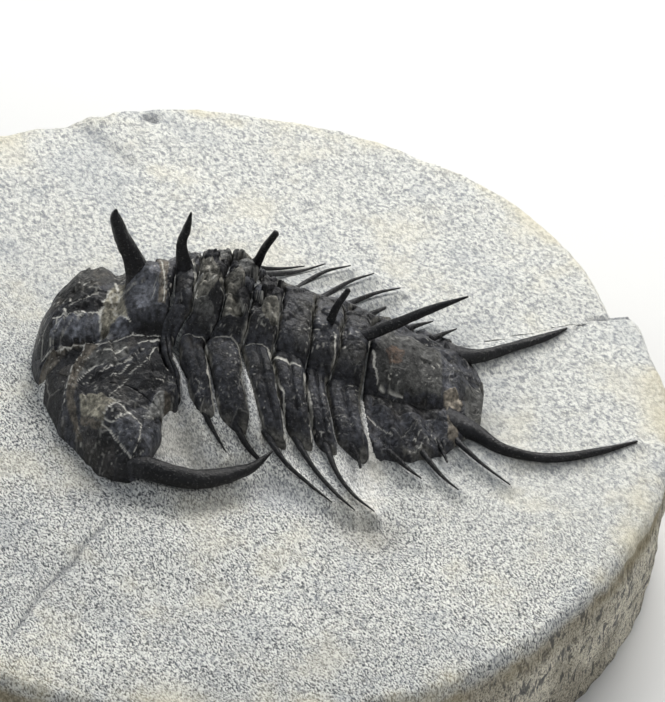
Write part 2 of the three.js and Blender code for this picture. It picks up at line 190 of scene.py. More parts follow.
def within(x, y, outline):
    """Distance in millimetres inside an outline, negative outside it"""
    closed = list(outline) + [outline[0]]
    inside = np.zeros(np.shape(x), bool)
    for (ax, ay), (bx, by) in zip(closed, closed[1:]):
        if ay != by:
            inside ^= ((ay > y) != (by > y)) & (x < (bx - ax) * (y - ay) / (by - ay) + ax)
    distance = reach(x, y, closed)
    return np.where(inside, distance, -distance)


def swept_back(side):
    """How far back the side fields of the thorax are swept at a distance from the midline"""
    return 2.4 * (np.maximum(0, np.abs(side) - 4.4) / 7) ** 1.5


def lobe_height(x, side, width):
    """Height of the round lobe along the middle, at a distance to the side"""
    furrow = along(AXIS, x, 2)
    return furrow + (along(AXIS, x, 3) - furrow) * np.sqrt(np.clip(1 - (side / width) ** 2, 0, 1))


def field_height(x, side, lobe, edge, edge_height):
    """Height of the arched field between the lobe and the margin"""
    out = np.clip((side - lobe) / np.maximum(edge - lobe, 0.1), 0, 1)
    return edge_height + (along(AXIS, x, 2) - edge_height) * (1 - out ** 1.9)


def pressed_down(x, y, height):
    """Keeps heights under the slope of the right side, with a soft bend where they meet it"""
    right = y - MIDLINE_Y
    slope = along(RIGHT_SLOPE, x + (0.075 - 0.004 * x) * right) - RIGHT_FALL * right
    slope = slope + 0.12 * lumps(x, 0 * x, 0.7, 19)
    over = height - np.maximum(slope, 1.0)
    return height - 0.5 * (over + np.sqrt(over ** 2 + 0.03))


def shell_height(x, y):
    """Height of the whole shell's outer face and the distance inside its margin"""
    side = np.abs(y - MIDLINE_Y)
    station = np.maximum(x - swept_back(side), HEAD_REAR + 0.5)
    lobe, edge = along(AXIS, station), along(MARGIN, station)
    behind = np.where(side < lobe, lobe_height(station, side, lobe),
                      field_height(station, side, lobe, edge, along(MARGIN, station, 2)))
    inside_thorax = np.minimum(edge - side, np.minimum(x + 12, TAIL_END + 0.1 - x))
    station = np.minimum(x, HEAD_REAR - 0.35)
    lobe, edge = along(AXIS, station), along(MARGIN, station) * np.where(y > MIDLINE_Y, RIGHT_CHEEK_WIDTH, 1)
    field = field_height(station, side, lobe, np.maximum(edge, lobe + 1), MARGIN_HEIGHT)
    field = MARGIN_HEIGHT + (field - MARGIN_HEIGHT) * ease(x, HEAD_FRONT, HEAD_FRONT + 2.4)
    before = np.where(side < lobe, lobe_height(station, side, lobe), field)
    inside_head = np.minimum(edge - side, np.minimum(x - HEAD_FRONT, HEAD_REAR - x))
    height = before + (behind - before) * ease(x - 0.8 * swept_back(side), HEAD_REAR - 0.3, HEAD_REAR + 0.6)
    return pressed_down(x, y, height), np.maximum(inside_head, inside_thorax)


def rim_radius(angle):
    """Radius of the rim by direction: nearly round, chipped flat with a step beside the tail"""
    degrees = np.degrees(angle)
    wander = 0.35 * np.sin(3 * angle + 0.6) + 0.25 * np.sin(7 * angle + 2)
    chip = np.where((degrees > 26) & (degrees < 60), 1.9 * (60 - degrees) / 33, 0)
    return BLOCK_RADIUS - 0.4 + wander - chip + 0.12 * lumps(angle * 40, 0 * angle, 1.3, 5)


# Lines on the stone: where they run, half width, depth, how much darker and bluer they are
STONE_LINES = [
    ([(-12.5, -35.3), (-11.9, -33.2), (-10.9, -28.8), (-9.9, -26.8), (-9.0, -25.2), (-8.3, -22.5),
      (-6.8, -19.4)], 0.22, 0.30, 0.55),
    ([(39.5, 18.6), (36.5, 17.6), (33.5, 16.7), (31.3, 14.0)], 0.18, 0.30, 0.6),
    ([(-18.4, 35.4), (-15.5, 33.4), (-12.7, 30.9)], 1.1, 0.30, 0.22),
    ([(-12.2, 38.3), (-11.4, 38.1)], 0.5, 0.6, 0.9),
    ([(-5.6, 23.4), (-4.8, 22.1), (-4.7, 20.9)], 0.12, 0.10, 0.3),
    ([(14.0, -15.6), (17.4, -16.2)], 3.0, 0.45, 0.22),
]
# Seams between plates that stand open and show pale stone
OPEN_SEAMS = [
    [(-3.8, -4.0), (-2.2, -6.1), (-1.5, -7.4), (0.0, -8.8), (-1.2, -9.2), (-2.2, -7.6), (-3.0, -5.8)],
    [(13.5, -3.2), (14.5, -5.6), (15.7, -7.8), (14.7, -8.2), (14.0, -5.6)],
    [(2.9, -5.0), (3.9, -6.6), (5.0, -9.0), (5.4, -9.9), (4.2, -9.6), (3.6, -7.6)],
]
# Stone was left under the spines along the margin: x, y, height of its crest, half width at its foot
SPINE_RIDGES = [
    [(-6.2, -12.9, 0.6, 1.8), (-3.0, -14.3, 0.9, 1.5), (0.1, -14.6, 0.9, 1.3), (3.5, -13.2, 1.2, 1.1),
     (6.4, -10.9, 1.3, 1.0)],
    [(0.3, -8.6, 3.7, 1.5), (2.3, -10.9, 2.0, 1.1)],
    [(2.6, -8.4, 3.2, 1.5), (3.8, -9.9, 2.5, 1.2), (6.9, -11.4, 0.8, 0.8)],
    [(5.9, -9.4, 2.7, 1.5), (7.6, -11.2, 2.1, 1.2), (9.9, -12.6, 1.3, 0.9), (12.3, -13.9, 0.7, 0.7)],
    [(8.3, -8.7, 2.3, 1.5), (10.1, -10.9, 1.7, 1.2), (12.4, -13.0, 1.0, 0.9), (14.4, -14.5, 0.6, 0.7)],
    [(10.9, -8.3, 2.1, 1.5), (12.2, -10.8, 1.5, 1.2), (14.0, -12.9, 1.0, 0.9), (16.1, -14.3, 0.6, 0.7)],
    [(16.6, -6.9, 0.9, 1.3), (19.8, -9.2, 0.6, 0.8)],
    [(19.4, -6.1, 0.9, 1.3), (23.2, -10.0, 0.6, 0.8)],
    [(22.3, -3.9, 0.8, 1.3), (27.7, -8.4, 0.6, 0.8)],
    [(22.0, -2.0, 0.7, 2.2), (26.4, -3.9, 0.7, 1.6), (32.0, -4.1, 0.75, 1.3), (35.4, -2.5, 0.8, 1.1),
     (38.7, -0.5, 0.95, 0.8)],
    [(1.0, 12.6, 3.8, 1.5), (3.4, 15.0, 2.2, 1.2), (6.0, 17.7, 0.8, 0.8)],
    [(3.0, 12.4, 3.4, 1.5), (5.3, 15.4, 1.8, 1.2), (7.9, 18.6, 0.7, 0.8)],
    [(5.6, 13.4, 2.6, 1.5), (7.8, 16.2, 1.5, 1.2), (10.3, 19.0, 0.6, 0.8)],
    [(8.3, 12.8, 2.3, 1.5), (10.4, 15.5, 1.4, 1.2), (12.6, 18.3, 0.6, 0.8)],
    [(10.8, 12.3, 2.0, 1.5), (13.0, 14.6, 1.2, 1.2), (15.3, 16.7, 0.6, 0.8)],
    [(17.0, 10.6, 1.0, 1.3), (18.8, 12.5, 0.6, 0.8)],
    [(21.2, 7.4, 0.7, 1.9), (26.4, 10.2, 0.7, 1.4), (31.3, 14.0, 0.9, 0.8)],
]


def ridge_lift(x, y, ridge):
    """How strongly a ridge stands at each point, from 0 to 1, and the height of its crest there"""
    strength, crest = np.zeros(np.shape(x)), np.zeros(np.shape(x))
    for (ax, ay, az, aw), (bx, by, bz, bw) in zip(ridge, ridge[1:]):
        dx, dy = bx - ax, by - ay
        t = np.clip(((x - ax) * dx + (y - ay) * dy) / (dx * dx + dy * dy), 0, 1)
        away = np.hypot(x - ax - t * dx, y - ay - t * dy) / (aw + (bw - aw) * t)
        stands = np.exp(-np.clip(away - 0.25, 0, 9) ** 2 * 1.8)
        crest = np.where(stands > strength, az + (bz - az) * t, crest)
        strength = np.maximum(strength, stands)
    return strength, crest


def stone_height(x, y):
    """Height of the stone's top: the rim, the trough, the mound, and the core left under the shell"""
    out = np.hypot(x, y) / BLOCK_RADIUS
    from_middle = ((x - 3) / 18) ** 2 + ((y - MIDLINE_Y) / 9) ** 2
    bare = 0.5 * ease(out, 0.6, 0.9) + 5.5 * np.clip(1 - from_middle, 0, 1) ** 2
    bare = bare + 0.16 * lumps(x, y, 5.5, 11) + 0.07 * lumps(x, y, 1.9, 12) + 0.035 * lumps(x, y, 0.8, 13)
    for line, half_width, depth, _ in STONE_LINES:
        bare = bare - depth * np.exp(-(reach(x, y, line) / half_width) ** 2)
    shell, inside = shell_height(x, y)
    towards_thorax = ease(x, HEAD_REAR - 1.5, HEAD_REAR + 1.5)
    flank = 0.9 + towards_thorax * (1.7 + 2.4 * ease(-y, 4, 7) * (1 - ease(x, 0, 3)))
    open_seam = sum(ease(within(x, y, outline), -0.3, 0.1) for outline in OPEN_SEAMS)
    core = np.maximum(shell - SHELL_THICKNESS + 0.8 * open_seam, bare)
    height = bare + (core - bare) * ease(inside, -flank, 1.3 - 0.9 * towards_thorax)
    for ridge in SPINE_RIDGES:
        strength, crest = ridge_lift(x, y, ridge)
        height = height + np.maximum(crest - height, 0) * strength
    return height


def net_faces(number):
    """The four-sided faces of a net, from the numbers of its points"""
    return np.stack([number[:-1, :-1], number[1:, :-1], number[1:, 1:], number[:-1, 1:]], -1).reshape(-1, 4)


TOP_STEPS = 262
WALL_ROWS = 22


def block_mesh():
    """The slab: a fine net over the top, closer together under the animal, a wall and the underside"""
    count = TOP_STEPS + 1
    a, b = np.meshgrid(np.linspace(-1, 1, count), np.linspace(-1, 1, count), indexing="ij")
    ring = np.maximum(np.abs(a), np.abs(b))
    steep = np.abs(a) > np.abs(b)
    safe_a, safe_b = np.where(a == 0, 1e-9, a), np.where(b == 0, 1e-9, b)
    angle = np.where(steep, math.pi / 4 * b / safe_a + np.where(a < 0, math.pi, 0),
                     math.pi / 2 - math.pi / 4 * a / safe_b + np.where(b < 0, math.pi, 0))
    angle = (angle + math.pi) % (2 * math.pi) - math.pi
    rim = rim_radius(angle)
    radius = rim * (0.72 * ring + 0.28 * ring ** 3)
    x, y = radius * np.cos(angle), radius * np.sin(angle)
    z = BLOCK_TOP + stone_height(x, y)
    rounding = RIM_ROUNDING * (1 + 0.5 * lumps(x, y, 4, 21))
    over = np.clip(1 - (rim - radius) / rounding, 0, 1)
    z = z - rounding * (1 - np.sqrt(1 - over ** 2 * 0.96))
    scallop = np.clip(lumps(x, y, 2.4, 22) + 0.25, 0, 1) * ease(np.degrees(angle), 102, 112)
    z = z - 0.8 * scallop * ease(radius, rim - 2.2, rim - 0.4)
    number = np.arange(count * count).reshape(count, count)
    faces = net_faces(number).tolist()
    points = [np.stack([x, y, z], -1).reshape(-1, 3)]
    loop = np.concatenate([number[:-1, 0], number[-1, :-1], number[:0:-1, -1], number[0, :0:-1]])
    rim_x, rim_y, rim_z = (grid.reshape(-1)[loop] for grid in (x, y, z))
    rim_angle, rim_out = np.arctan2(rim_y, rim_x), np.hypot(rim_x, rim_y)
    previous = loop
    for row in range(1, WALL_ROWS + 1):
        down = row / WALL_ROWS
        height = rim_z * (1 - down)
        arc = rim_angle * BLOCK_RADIUS
        bulge = 0.22 * lumps(arc + 0.35 * height, height * 0.6, 2.6, 31)
        bulge = bulge + 0.14 * lumps(arc + 0.5 * height, height * 0.35, 0.7, 32)
        out = rim_out + (bulge + 0.25 * math.sin(math.pi * min(1, down * 1.2))) * min(1, 5 * (1 - down))
        points.append(np.stack([out * np.cos(rim_angle), out * np.sin(rim_angle), height], -1))
        ring_numbers = count * count + (row - 1) * len(loop) + np.arange(len(loop))
        wall = np.stack([previous, ring_numbers, np.roll(ring_numbers, -1), np.roll(previous, -1)], -1)
        faces += wall.tolist()
        previous = ring_numbers
    faces.append(previous[::-1].tolist())
    return np.concatenate(points), faces


def linked_mesh(name, points, faces, marks):
    """An object in the scene from points in millimetres, with its painted marks stored on the points"""
    mesh = bpy.data.meshes.new(name)
    mesh.from_pydata((points * MM).tolist(), [], faces)
    for mark, values in marks.items():
        if np.ndim(values) == 2:
            layer = mesh.attributes.new(mark, "FLOAT_COLOR", "POINT")
            layer.data.foreach_set("color", np.c_[values, np.ones(len(values))].ravel())
        else:
            layer = mesh.attributes.new(mark, "FLOAT", "POINT")
            layer.data.foreach_set("value", np.asarray(values, float))
    mesh.validate()
    mesh.polygons.foreach_set("use_smooth", [True] * len(mesh.polygons))
    piece = bpy.data.objects.new(name, mesh)
    bpy.context.scene.collection.objects.link(piece)
    return piece


stone_points, stone_faces = block_mesh()
stone_x, stone_y, stone_z = stone_points.T
shell_inside = shell_height(stone_x, stone_y)[1]
bruise_and_front_shade = np.exp(np.minimum(0, shell_inside + 0.6) / 2.2) * (1 - 0.65 * ease(-stone_x, 8, 16))
on_ridge = np.max([ridge_lift(stone_x, stone_y, spine_ridge)[0] for spine_ridge in SPINE_RIDGES], axis=0)
bruise_and_front_shade = np.maximum(bruise_and_front_shade, 0.8 * on_ridge)
for seam_outline in OPEN_SEAMS:
    bruise_and_front_shade = bruise_and_front_shade * (1 - ease(within(stone_x, stone_y, seam_outline), -0.5, 0.0))
# Painted light: the body's shade falls between the spine tips in front of it, so there the bluish darkening
# is left out and the stone is painted paler
between_tips = ease(-stone_y, 3.5, 5.5) * (1 - ease(-stone_y, 12.5, 16)) \
    * ease(stone_x, -7, -5) * (1 - ease(stone_x, 15, 18))
bruise_and_front_shade = bruise_and_front_shade * (1 - between_tips)
# Painted shade: the bluish darkening also grows in soft patches towards the front of the block
towards_front = -0.45 * stone_x - 0.89 * stone_y
bruise_and_front_shade = bruise_and_front_shade * 0.75 + 0.55 * ease(towards_front, 2, 38) * patchy(stone_x, stone_y, 9, 42, -1.2, 0.2)
bruise_and_front_shade = np.clip(bruise_and_front_shade * (1 + 0.35 * lumps(stone_x, stone_y, 2.2, 41)), 0, 1)
darkening = np.zeros(len(stone_points))
for line, half_width, _, darker in STONE_LINES:
    darkening = np.maximum(darkening, darker * np.exp(-(reach(stone_x, stone_y, line) / half_width) ** 2))
stone_out = np.hypot(stone_x, stone_y)
rim_band = ease(stone_out, 38, 41.5) * (stone_z > BLOCK_TOP - 1.5)
stone_block = linked_mesh("limestone_block", stone_points, stone_faces, {
    "bruise_and_front_shade": bruise_and_front_shade,
    "crack": darkening,
    "coarse": ease(0.35 * stone_x + 0.94 * stone_y, -12, 14),
    "painted_light_between_tips": between_tips * (1 - 0.8 * on_ridge),
    "rim_band": rim_band,
    "wall": ease(BLOCK_TOP - stone_z, 0.1, 1.6),
    "edge_stain": ease(BLOCK_TOP - stone_z, -0.3, 0.8) * (1 - ease(BLOCK_TOP - stone_z, 1.8, 4.0)),
})


NODES_IN_A_ROW = 9


def add_node(tree, kind, values=None, **settings):
    """A shader node with its settings, and its inputs given as values or as outputs of other nodes"""
    node = tree.nodes.new(kind)
    row, column = divmod(len(tree.nodes), NODES_IN_A_ROW)
    node.location = 220 * column, -320 * row
    for name, value in settings.items():
        setattr(node, name, value)
    for name, value in (values or {}).items():
        if isinstance(value, bpy.types.NodeSocket):
            tree.links.new(value, node.inputs[name])
        else:
            node.inputs[name].default_value = value
    return node


def mix_colour(tree, share, first, second, blend="MIX"):
    """Mixes two colours by a share; returns the mixed colour"""
    first, second = (colour if isinstance(colour, bpy.types.NodeSocket) else (*colour, 1)
                     for colour in (first, second))
    return add_node(tree, "ShaderNodeMix", {0: share, 6: first, 7: second},
                    data_type="RGBA", blend_type=blend).outputs[2]


def combine(tree, operation, *values):
    """Arithmetic on values, each a number or an output"""
    return add_node(tree, "ShaderNodeMath", dict(enumerate(values)), operation=operation).outputs[0]


def band(tree, value, low, high):
    """0 where the value is under low and 1 where it is over high"""
    return add_node(tree, "ShaderNodeMapRange", {"Value": value, "From Min": low, "From Max": high},
                    interpolation_type="SMOOTHSTEP").outputs["Result"]


def rescaled(tree, value, low, high, new_low, new_high):
    """The value moved from one range to another"""
    return add_node(tree, "ShaderNodeMapRange", {
        "Value": value, "From Min": low, "From Max": high, "To Min": new_low,
        "To Max": new_high}).outputs["Result"]


def marked(tree, name):
    """A value painted on the points of the mesh"""
    return add_node(tree, "ShaderNodeAttribute", attribute_name=name).outputs["Fac"]


def mineral_grain():
    """Fine grain shared by stone and shell: soft mottling, hard specks and a height made of both"""
    group = bpy.data.node_groups.new("mineral_grain", "ShaderNodeTree")
    face = group.interface
    for name, default in (("Mottle Scale", 300.0), ("Speck Scale", 2400.0), ("Stretch", 1.0), ("Rise", 1.0)):
        face.new_socket(name, in_out="INPUT", socket_type="NodeSocketFloat").default_value = default
    for name in ("Mottle", "Specks", "Height"):
        face.new_socket(name, in_out="OUTPUT", socket_type="NodeSocketFloat")
    given = group.nodes.new("NodeGroupInput").outputs
    result = group.nodes.new("NodeGroupOutput").inputs
    where = add_node(group, "ShaderNodeTexCoord").outputs["Object"]
    turned = add_node(group, "ShaderNodeMapping", {
        "Vector": where, "Rotation": (0, 0, 0.9)}).outputs["Vector"]
    squeeze = add_node(group, "ShaderNodeCombineXYZ", {
        "X": 1.0, "Y": given["Stretch"], "Z": given["Rise"]}).outputs["Vector"]
    stretched = add_node(group, "ShaderNodeVectorMath", {0: turned, 1: squeeze},
                         operation="MULTIPLY").outputs["Vector"]
    mottle = add_node(group, "ShaderNodeTexNoise", {
        "Vector": where, "Scale": given["Mottle Scale"], "Detail": 5.0, "Roughness": 0.6}).outputs["Fac"]
    specks = add_node(group, "ShaderNodeTexNoise", {
        "Vector": stretched, "Scale": given["Speck Scale"], "Detail": 3.0, "Roughness": 0.55,
        "Distortion": 0.6}).outputs["Fac"]
    group.links.new(mottle, result["Mottle"])
    group.links.new(specks, result["Specks"])
    group.links.new(combine(group, "MULTIPLY_ADD", specks, 0.7, mottle), result["Height"])
    return group


GRAIN = mineral_grain()


def grain_in(tree, mottle_scale, speck_scale, stretch=1.0, rise=1.0):
    """The shared grain in one material: how fine its mottling and specks are and how they are drawn out"""
    return add_node(tree, "ShaderNodeGroup", {
        "Mottle Scale": mottle_scale, "Speck Scale": speck_scale, "Stretch": stretch, "Rise": rise},
        node_tree=GRAIN).outputs


def pecked_top(tree, fine_grain, broad_grain):
    """Colour of the pecked top: white where the scribe bruised the stone and grey between its marks,
    with painted light between the spine tips and painted shade towards the front
    """
    coarse_grain = grain_in(tree, 500.0, 2300.0, 1.3)
    fine_marks = band(tree, fine_grain["Specks"], 0.37, 0.58)
    fine = mix_colour(tree, fine_marks, tone(70, 73, 78), tone(237, 237, 230))
    soft = mix_colour(tree, band(tree, coarse_grain["Specks"], 0.30, 0.62),
                      tone(148, 150, 152), tone(228, 228, 221))
    # Painted light: paler stone between the spine tips, where the body's shade falls
    painted_light_colour = mix_colour(tree, fine_marks, tone(164, 165, 168), tone(255, 255, 252))
    colour = mix_colour(tree, marked(tree, "coarse"), fine, soft)
    colour = mix_colour(tree, marked(tree, "painted_light_between_tips"), colour, painted_light_colour)
    for mask, most, hue in (
        (band(tree, broad_grain["Specks"], 0.47, 0.33), 0.55, tone(134, 137, 141)),
        (band(tree, broad_grain["Mottle"], 0.50, 0.66), 0.35, tone(226, 220, 200)),
        (band(tree, broad_grain["Mottle"], 0.47, 0.33), 0.22, tone(160, 167, 175)),
    ):
        colour = mix_colour(tree, combine(tree, "MULTIPLY", mask, most), colour, hue)
    # Bluish darkening: the fresh bruise close to the shell, and painted shade towards the front of the block
    colour = mix_colour(tree, combine(tree, "MULTIPLY", marked(tree, "bruise_and_front_shade"), 0.6),
                        colour, tone(170, 175, 183), "MULTIPLY")
    worn_rim = combine(tree, "MULTIPLY", marked(tree, "rim_band"),
                       band(tree, broad_grain["Mottle"], 0.40, 0.60))
    return mix_colour(tree, combine(tree, "MULTIPLY", worn_rim, 0.45), colour, tone(214, 204, 172))


def pecked_wall(tree, fine_grain, broad_grain):
    """Colour of the wall: cream stone with upright dark pits and a brown stain along its top edge"""
    wall_grain = grain_in(tree, 300.0, 1500.0, 1.0, 0.45)
    colour = mix_colour(tree, band(tree, fine_grain["Specks"], 0.34, 0.60),
                        tone(124, 120, 110), tone(232, 226, 208))
    pits = combine(tree, "MULTIPLY", band(tree, wall_grain["Specks"], 0.50, 0.36), 0.85)
    colour = mix_colour(tree, pits, colour, tone(80, 81, 84))
    shade = combine(tree, "MULTIPLY", band(tree, broad_grain["Mottle"], 0.56, 0.40), 0.6)
    colour = mix_colour(tree, shade, colour, tone(168, 164, 156), "MULTIPLY")
    stain = combine(tree, "MULTIPLY", marked(tree, "edge_stain"),
                    band(tree, broad_grain["Mottle"], 0.36, 0.56))
    return mix_colour(tree, combine(tree, "MULTIPLY", stain, 0.8), colour, tone(132, 121, 92))


def pecked_limestone():
    """The stone's finish: matt, with the pecked top, the pitted wall, the cracks and a fine relief"""
    material = bpy.data.materials.new("pecked_limestone")
    material.use_nodes = True
    tree = material.node_tree
    shader = tree.nodes["Principled BSDF"]
    fine_grain = grain_in(tree, 750.0, 3900.0, 1.8)
    broad_grain = grain_in(tree, 120.0, 1500.0, 1.4)
    colour = mix_colour(tree, marked(tree, "wall"), pecked_top(tree, fine_grain, broad_grain),
                        pecked_wall(tree, fine_grain, broad_grain))
    colour = mix_colour(tree, marked(tree, "crack"), colour, tone(84, 88, 96))
    tree.links.new(colour, shader.inputs["Base Color"])
    shader.inputs["Roughness"].default_value = 0.88
    shader.inputs["Specular IOR Level"].default_value = 0.25
    relief = add_node(tree, "ShaderNodeBump", {
        "Height": fine_grain["Height"], "Strength": 1.0, "Distance": 0.00026}).outputs["Normal"]
    tree.links.new(relief, shader.inputs["Normal"])
    return material


stone_block.data.materials.append(pecked_limestone())
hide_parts("matrix")
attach(stone_block, "root")

# Shell and calcite
# The shell is black to slate-blue calcite with a half gloss, cracked when the rock was squeezed. The
# cracks are healed with white calcite, and the surface has spalled in places to a dull brown-grey.
BLACK = tone(45, 46, 50)
DEEP_BLACK = tone(27, 27, 29)
SLATE = tone(92, 94, 100)
DULL_GREY = tone(80, 80, 78)
BROWN_GREY = tone(98, 92, 83)
CREAM = tone(172, 167, 150)
WHITE_CALCITE = tone(214, 212, 203)
STONE_DUST = tone(124, 122, 114)
SPINE_BLACK = tone(13, 13, 15)
SPINE_ROOT = tone(66, 66, 69)


def shards(x, y, size, seed):
    """Angular fragments about this size: a number from 0 to 1 for each, the distance to its edge, and
    how high its tilted face lies at each point, for a slope of 1"""
    px, py = x / size, y / size
    i, j = np.floor(px).astype(np.int64), np.floor(py).astype(np.int64)
    nearest, second, value = np.full(px.shape, 9.0), np.full(px.shape, 9.0), np.zeros(px.shape)
    tilt = np.zeros(px.shape)
    for di in (-1, 0, 1):
        for dj in (-1, 0, 1):
            ci, cj = i + di, j + dj
            dx, dy = ci + chance(ci, cj, seed) - px, cj + chance(ci, cj, seed + 1) - py
            distance, turn = np.hypot(dx, dy), 6.283 * chance(ci, cj, seed + 3)
            value = np.where(distance < nearest, chance(ci, cj, seed + 2), value)
            tilt = np.where(distance < nearest, dx * np.cos(turn) + dy * np.sin(turn), tilt)
            second = np.where(distance < nearest, nearest, np.minimum(second, distance))
            nearest = np.minimum(nearest, distance)
    return value, (second - nearest) * size, tilt * size


def fossil_shell():
    """The shell's finish: the painted tint, its mottling, pale specks, white veins and a fine grain"""
    material = bpy.data.materials.new("black_fossil_shell")
    material.use_nodes = True
    tree = material.node_tree
    shader = tree.nodes["Principled BSDF"]
    fine_grain = grain_in(tree, 2400.0, 4600.0)
    broad_grain = grain_in(tree, 220.0, 1500.0, 2.2)
    shade = combine(tree, "MULTIPLY", rescaled(tree, broad_grain["Mottle"], 0.3, 0.7, 0.5, 1.6),
                    rescaled(tree, fine_grain["Mottle"], 0.36, 0.66, 0.4, 1.8))
    grey = add_node(tree, "ShaderNodeCombineColor", {
        "Red": shade, "Green": shade, "Blue": shade}).outputs["Color"]
    tint = add_node(tree, "ShaderNodeAttribute", attribute_name="tint").outputs["Color"]
    colour = mix_colour(tree, 1.0, tint, grey, "MULTIPLY")
    specks = combine(tree, "MULTIPLY", band(tree, fine_grain["Specks"], 0.58, 0.72), 0.26)
    colour = mix_colour(tree, specks, colour, tone(150, 150, 146))
    vein = combine(tree, "MULTIPLY", marked(tree, "vein"),
                   rescaled(tree, fine_grain["Mottle"], 0.35, 0.55, 0.7, 1.0))
    tree.links.new(mix_colour(tree, vein, colour, WHITE_CALCITE), shader.inputs["Base Color"])
    roughness = combine(tree, "MAXIMUM", rescaled(tree, broad_grain["Specks"], 0.3, 0.7, 0.30, 0.58),
                        combine(tree, "MULTIPLY", marked(tree, "dull"), 0.72))
    tree.links.new(roughness, shader.inputs["Roughness"])
    relief = add_node(tree, "ShaderNodeBump", {
        "Height": fine_grain["Height"], "Strength": 0.9, "Distance": 0.00012}).outputs["Normal"]
    tree.links.new(relief, shader.inputs["Normal"])
    shader.inputs["Specular IOR Level"].default_value = 0.3
    return material


SHELL = fossil_shell()


def tube(points, slimness, sides=18, steps=56):
    """A tapering spine along a smooth curve through points of x, y, height and radius"""
    knots = np.array(points, float)
    knots[:, 3] *= slimness + (1 - slimness) * np.linspace(1, 0, len(points)) ** 3 * 0.35
    knots[0, :3] += 0.3 * (knots[0, :3] - knots[1, :3])
    knots = np.concatenate([[2 * knots[0] - knots[1]], knots, [2 * knots[-1] - knots[-2]]])
    t = np.linspace(0, len(points) - 1 - 1e-6, steps)
    k = np.floor(t).astype(int)
    f = (t - k)[:, None]
    p0, p1, p2, p3 = (knots[k + n] for n in range(4))
    path = 0.5 * (2 * p1 + (p2 - p0) * f + (2 * p0 - 5 * p1 + 4 * p2 - p3) * f ** 2
                  + (3 * p1 - p0 - 3 * p2 + p3) * f ** 3)
    centre, radius = path[:, :3], np.maximum(path[:, 3], 0.03)
    share = np.linspace(0, 1, steps)
    forward = np.gradient(centre, axis=0)
    forward /= np.linalg.norm(forward, axis=1)[:, None]
    flare = 0.4 if forward[0, 2] > 0.5 else 0.1
    radius = radius * (1 + flare * np.clip(1 - share / 0.2, 0, 1) ** 2)
    guide = np.array([0.0, 1.0, 0.0]) if abs(forward[0, 2]) > 0.5 else np.array([0.0, 0.0, 1.0])
    right = np.cross(guide, forward)
    right /= np.linalg.norm(right, axis=1)[:, None]
    over = np.cross(forward, right)
    turn = np.linspace(0, 2 * math.pi, sides, endpoint=False)
    wave = 1 + 0.05 * np.sin(3 * turn[None, :] + 9 * share[:, None]) \
        + 0.05 * lumps(share[:, None] * 24 + 0 * turn, turn[None, :] * 2 + 0 * share[:, None], 1, 51)
    around = (np.cos(turn)[None, :, None] * right[:, None] + np.sin(turn)[None, :, None] * over[:, None])
    body = centre[:, None] + around * (radius[:, None] * wave)[..., None]
    body[..., 2] += BLOCK_TOP
    tip = centre[-1] + forward[-1] * radius[-1] * 0.7 + [0, 0, BLOCK_TOP]
    points = np.concatenate([body.reshape(-1, 3), [tip]])
    number = np.arange(steps * sides).reshape(steps, sides)
    after = np.roll(number, -1, axis=1)
    faces = np.stack([number[:-1], after[:-1], after[1:], number[1:]], -1).reshape(-1, 4).tolist()
    faces.append(number[0, ::-1].tolist())
    faces += [[a, b, steps * sides] for a, b in zip(number[-1], after[-1])]
    return points, faces


def shell_plate(name, node, x, y, height, marks, spines):
    """One plate of the shell: a net of points laid on its outer face, closed below, with its spines"""
    rows, columns = x.shape
    floor = np.minimum(stone_height(x, y) - 0.3, height - 0.25)
    top = np.stack([x, y, BLOCK_TOP + height], -1).reshape(-1, 3)
    low = np.stack([x, y, BLOCK_TOP + floor], -1)
    points = [top, low[0], low[-1]]
    number = np.arange(rows * columns).reshape(rows, columns)
    front = rows * columns + np.arange(columns)
    back = front + columns
    quads = [net_faces(number),
             np.stack([front[:-1], number[0, :-1], number[0, 1:], front[1:]], -1),
             np.stack([number[-1, :-1], back[:-1], back[1:], number[-1, 1:]], -1),
             np.stack([back[:-1], front[:-1], front[1:], back[1:]], -1)]
    faces = np.concatenate(quads).tolist()
    faces.append([front[0], back[0]] + number[::-1, 0].tolist())
    faces.append([back[-1], front[-1]] + number[:, -1].tolist())
    marks = {key: np.concatenate([v.reshape(rows * columns, -1), v[0].reshape(columns, -1),
                                  v[-1].reshape(columns, -1)]) for key, v in marks.items()}
    total = rows * columns + 2 * columns
    for spine_points in spines:
        steep = spine_points[1][2] > spine_points[0][2] + 0.5
        body, sides = tube(spine_points, 0.85 if steep else 0.58 if spine_points[0][3] < 0.7 else 1.08)
        points.append(body)
        faces += [[corner + total for corner in face] for face in sides]
        total += len(body)
        from_root = np.linspace(0, 1, len(body))[:, None]
        root_share = (0.75 if steep else 0.3) * (1 - ease(from_root, 0.05, 0.3))
        spine_tint = SPINE_BLACK + (SPINE_ROOT - SPINE_BLACK) * root_share
        marks["tint"] = np.concatenate([marks["tint"], spine_tint])
        for key in ("vein", "dull"):
            marks[key] = np.concatenate([marks[key], np.zeros((len(body), 1))])
    marks = {key: v if key == "tint" else v[:, 0] for key, v in marks.items()}
    piece = linked_mesh(name, np.concatenate(points), faces, marks)
    piece.data.materials.append(SHELL)
    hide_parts(node)
    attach(piece, "root")


def blended(first, second, share):
    """Colours on the points of a plate, blended by a share for each point"""
    return first + (second - first) * share[..., None]


